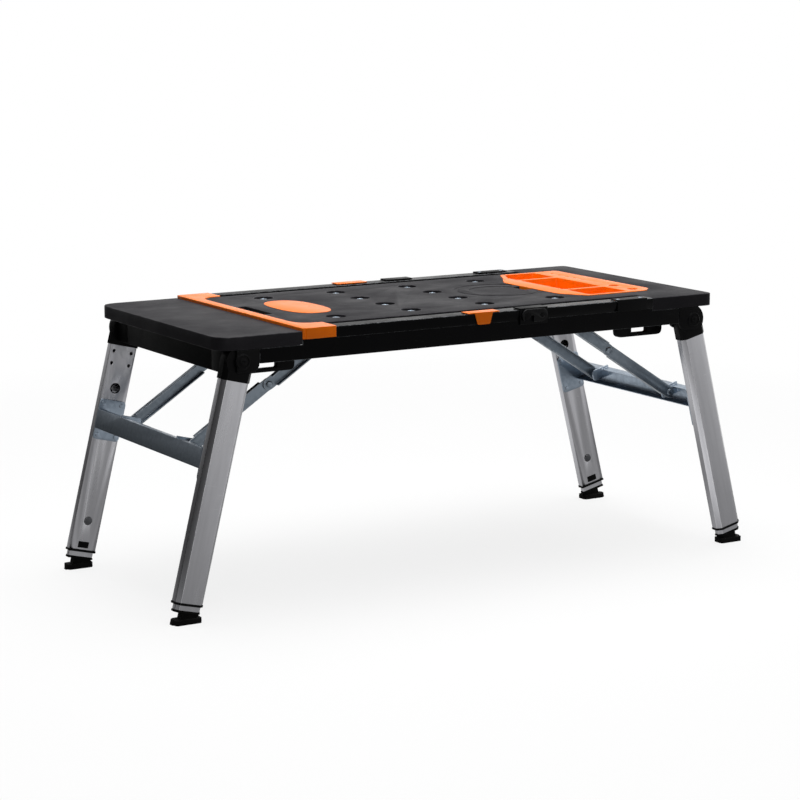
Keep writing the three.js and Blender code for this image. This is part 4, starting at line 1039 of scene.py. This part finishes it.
@dataclass
class Studio:
    """A white floor, two soft lamps and the camera that looks at the bench."""

    target: Vector = Vector((-0.02195, 0.0, 0.3223))
    azimuth: float = math.radians(-30.581)
    elevation: float = math.radians(10.131)
    roll: float = math.radians(-0.178)
    distance: float = 5.0
    lens: float = 111.21
    sensor: float = 36.0
    farthest: float = 60.0
    lamp_aim: Point = (0.0, 0.0, 0.3)
    floor_half: float = 14.0
    floor_lines: int = 9
    bounced_paint: float = 0.32
    seen_paint: float = 0.98
    clear_near: float = 0.84
    mirrored_share: float = 0.85
    dark_corner: Point = (-0.96, 0.226, 0.17)
    dark_level: float = 0.04
    soft_level: float = 0.15
    # where the floor's painted reflection glows brightest, putting a painted highlight on the near right
    # leg's chamfer
    bright_patch: Point = (0.25, -0.48, 0.0)

    def build(self) -> None:
        """Set up the camera, the lights, the floor and the world."""
        bpy.context.scene.view_settings.view_transform = "Standard"
        self.camera()
        self.lamp("overhead_softbox", (0.2, 0.2, 2.9), size=2.4, power=100.0)
        self.lamp("front_left_key", (-1.9, -2.9, 2.3), size=1.4, power=22.0)
        self.floor()
        self.world()

    def camera(self) -> None:
        """Stand the camera at the viewing angle, with its small roll."""
        level = math.cos(self.elevation)
        across, along = math.sin(self.azimuth) * level, -math.cos(self.azimuth) * level
        away = Vector((across, along, math.sin(self.elevation)))
        data = bpy.data.cameras.new("bench_camera")
        data.lens = self.lens
        data.sensor_width = self.sensor
        data.clip_end = self.farthest
        made = bpy.data.objects.new("bench_camera", data)
        turn = (-away).to_track_quat("-Z", "Y").to_matrix().to_4x4()
        place = Matrix.Translation(self.target + self.distance * away)
        made.matrix_world = place @ turn @ Matrix.Rotation(self.roll, 4, "Z")
        bpy.context.scene.collection.objects.link(made)
        bpy.context.scene.camera = made

    def lamp(self, name: str, place: Point, size: float, power: float) -> None:
        """Hang a square soft lamp that faces the bench.

        Args:
            name: the lamp's name.
            place: where it hangs.
            size: its side, in metres.
            power: its output, in watts.
        """
        data = bpy.data.lights.new(name, "AREA")
        data.shape = "SQUARE"
        data.size = size
        data.energy = power
        made = bpy.data.objects.new(name, data)
        made.location = place
        made.rotation_euler = (Vector(self.lamp_aim) - Vector(place)).to_track_quat("-Z", "Y").to_euler()
        bpy.context.scene.collection.objects.link(made)

    def floor(self) -> None:
        """Lay a white floor that keeps the bench's shadow, lets a leg drawn out below it be seen, and glows
        for glossy rays as a painted reflection.
        """
        line = np.linspace(-self.floor_half, self.floor_half, self.floor_lines)
        x, y = np.meshgrid(line, line, indexing="ij")
        points = np.stack((x, y, np.zeros_like(x)), -1)
        floor = merged_piece("studio_floor", points[None], (False, False))
        if floor.data.polygons[0].normal.z < 0:
            floor.data.flip_normals()
        material = bpy.data.materials.new("white_floor")
        material.use_nodes = True
        wire = Wiring(material.node_tree)
        nodes = material.node_tree.nodes
        nodes.remove(nodes["Principled BSDF"])
        rays = wire.node("ShaderNodeLightPath").outputs
        paint = wire.stretch(rays["Is Camera Ray"], 0.0, 1.0, self.bounced_paint, self.seen_paint)
        matt = wire.node("ShaderNodeBsdfDiffuse", {"Color": paint})
        clear = wire.node("ShaderNodeBsdfTransparent", {"Color": WHITE})
        place = wire.node("ShaderNodeTexCoord").outputs["Object"]
        away = wire.node("ShaderNodeVectorMath", {0: place}, operation="LENGTH").outputs["Value"]
        fade = wire.stretch(away, 1.0, 2.6, self.clear_near, 1.0)
        share = wire.maths("MULTIPLY", rays["Is Camera Ray"], fade)
        shown = wire.node("ShaderNodeMixShader", {0: share, 1: matt.outputs[0], 2: clear.outputs[0]})
        across, along, _ = wire.node("ShaderNodeSeparateXYZ", {0: place}).outputs
        # Glow seen only in reflections, a painted reflection: dimmer in front of and under the bench as
        # painted shade, brighter behind it, a patch that paints a highlight on the near right leg's
        # chamfer, and fading to dark towards the left as painted shade.
        ahead = wire.stretch(along, -1.2, -0.35, 0.68, 0.42)
        behind = wire.stretch(along, 0.1, 0.5, 0.0, 0.6)
        off = wire.node("ShaderNodeVectorMath", {0: place, 1: self.bright_patch}, operation="DISTANCE")
        patch = wire.stretch(off.outputs["Value"], 0.22, 0.45, 0.9, 0.0)
        whole = wire.maths("ADD", wire.maths("ADD", ahead, behind), patch)
        level = wire.maths("MULTIPLY", whole, wire.stretch(across, -1.3, -0.7, 0.03, 1.0))
        painted_reflection_glow = wire.node("ShaderNodeEmission", {"Color": WHITE, "Strength": level})
        # glossy rays mostly see the painted reflection glow
        most = wire.maths("MULTIPLY", rays["Is Glossy Ray"], self.mirrored_share)
        mix = wire.node("ShaderNodeMixShader", {0: most, 1: shown.outputs[0], 2: painted_reflection_glow.outputs[0]})
        wire.feed(nodes["Material Output"].inputs["Surface"], mix.outputs[0])
        floor.data.materials.append(material)
        floor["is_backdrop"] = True

    def world(self) -> None:
        """Surround the bench with white, and light it softly from all round but for a dark corner."""
        world = bpy.data.worlds.new("white_studio")
        world.use_nodes = True
        bpy.context.scene.world = world
        wire = Wiring(world.node_tree)
        back = world.node_tree.nodes["Background"]
        back.inputs["Color"].default_value = WHITE
        rays = wire.node("ShaderNodeLightPath").outputs
        way = wire.node("ShaderNodeTexCoord").outputs["Generated"]
        near = wire.node("ShaderNodeVectorMath", {0: way, 1: self.dark_corner}, operation="DOT_PRODUCT")
        open_sky = wire.stretch(near.outputs["Value"], 0.38, 0.64, 1.0, self.dark_level)
        part = wire.stretch(rays["Is Glossy Ray"], 0.0, 1.0, self.soft_level, 1.0)
        lit = wire.maths("MULTIPLY", open_sky, part)
        wire.feed(back.inputs["Strength"], wire.maths("MAXIMUM", rays["Is Camera Ray"], lit))


def main() -> None:
    """Build the bench and the studio around it."""
    logging.basicConfig(level=logging.INFO, format="%(name)s %(message)s")
    bench = Bench()
    Studio().build()
    Deck(bench).build()
    for end in End:
        LegFrame(bench, end).build()


if __name__ == "__main__":
    main()
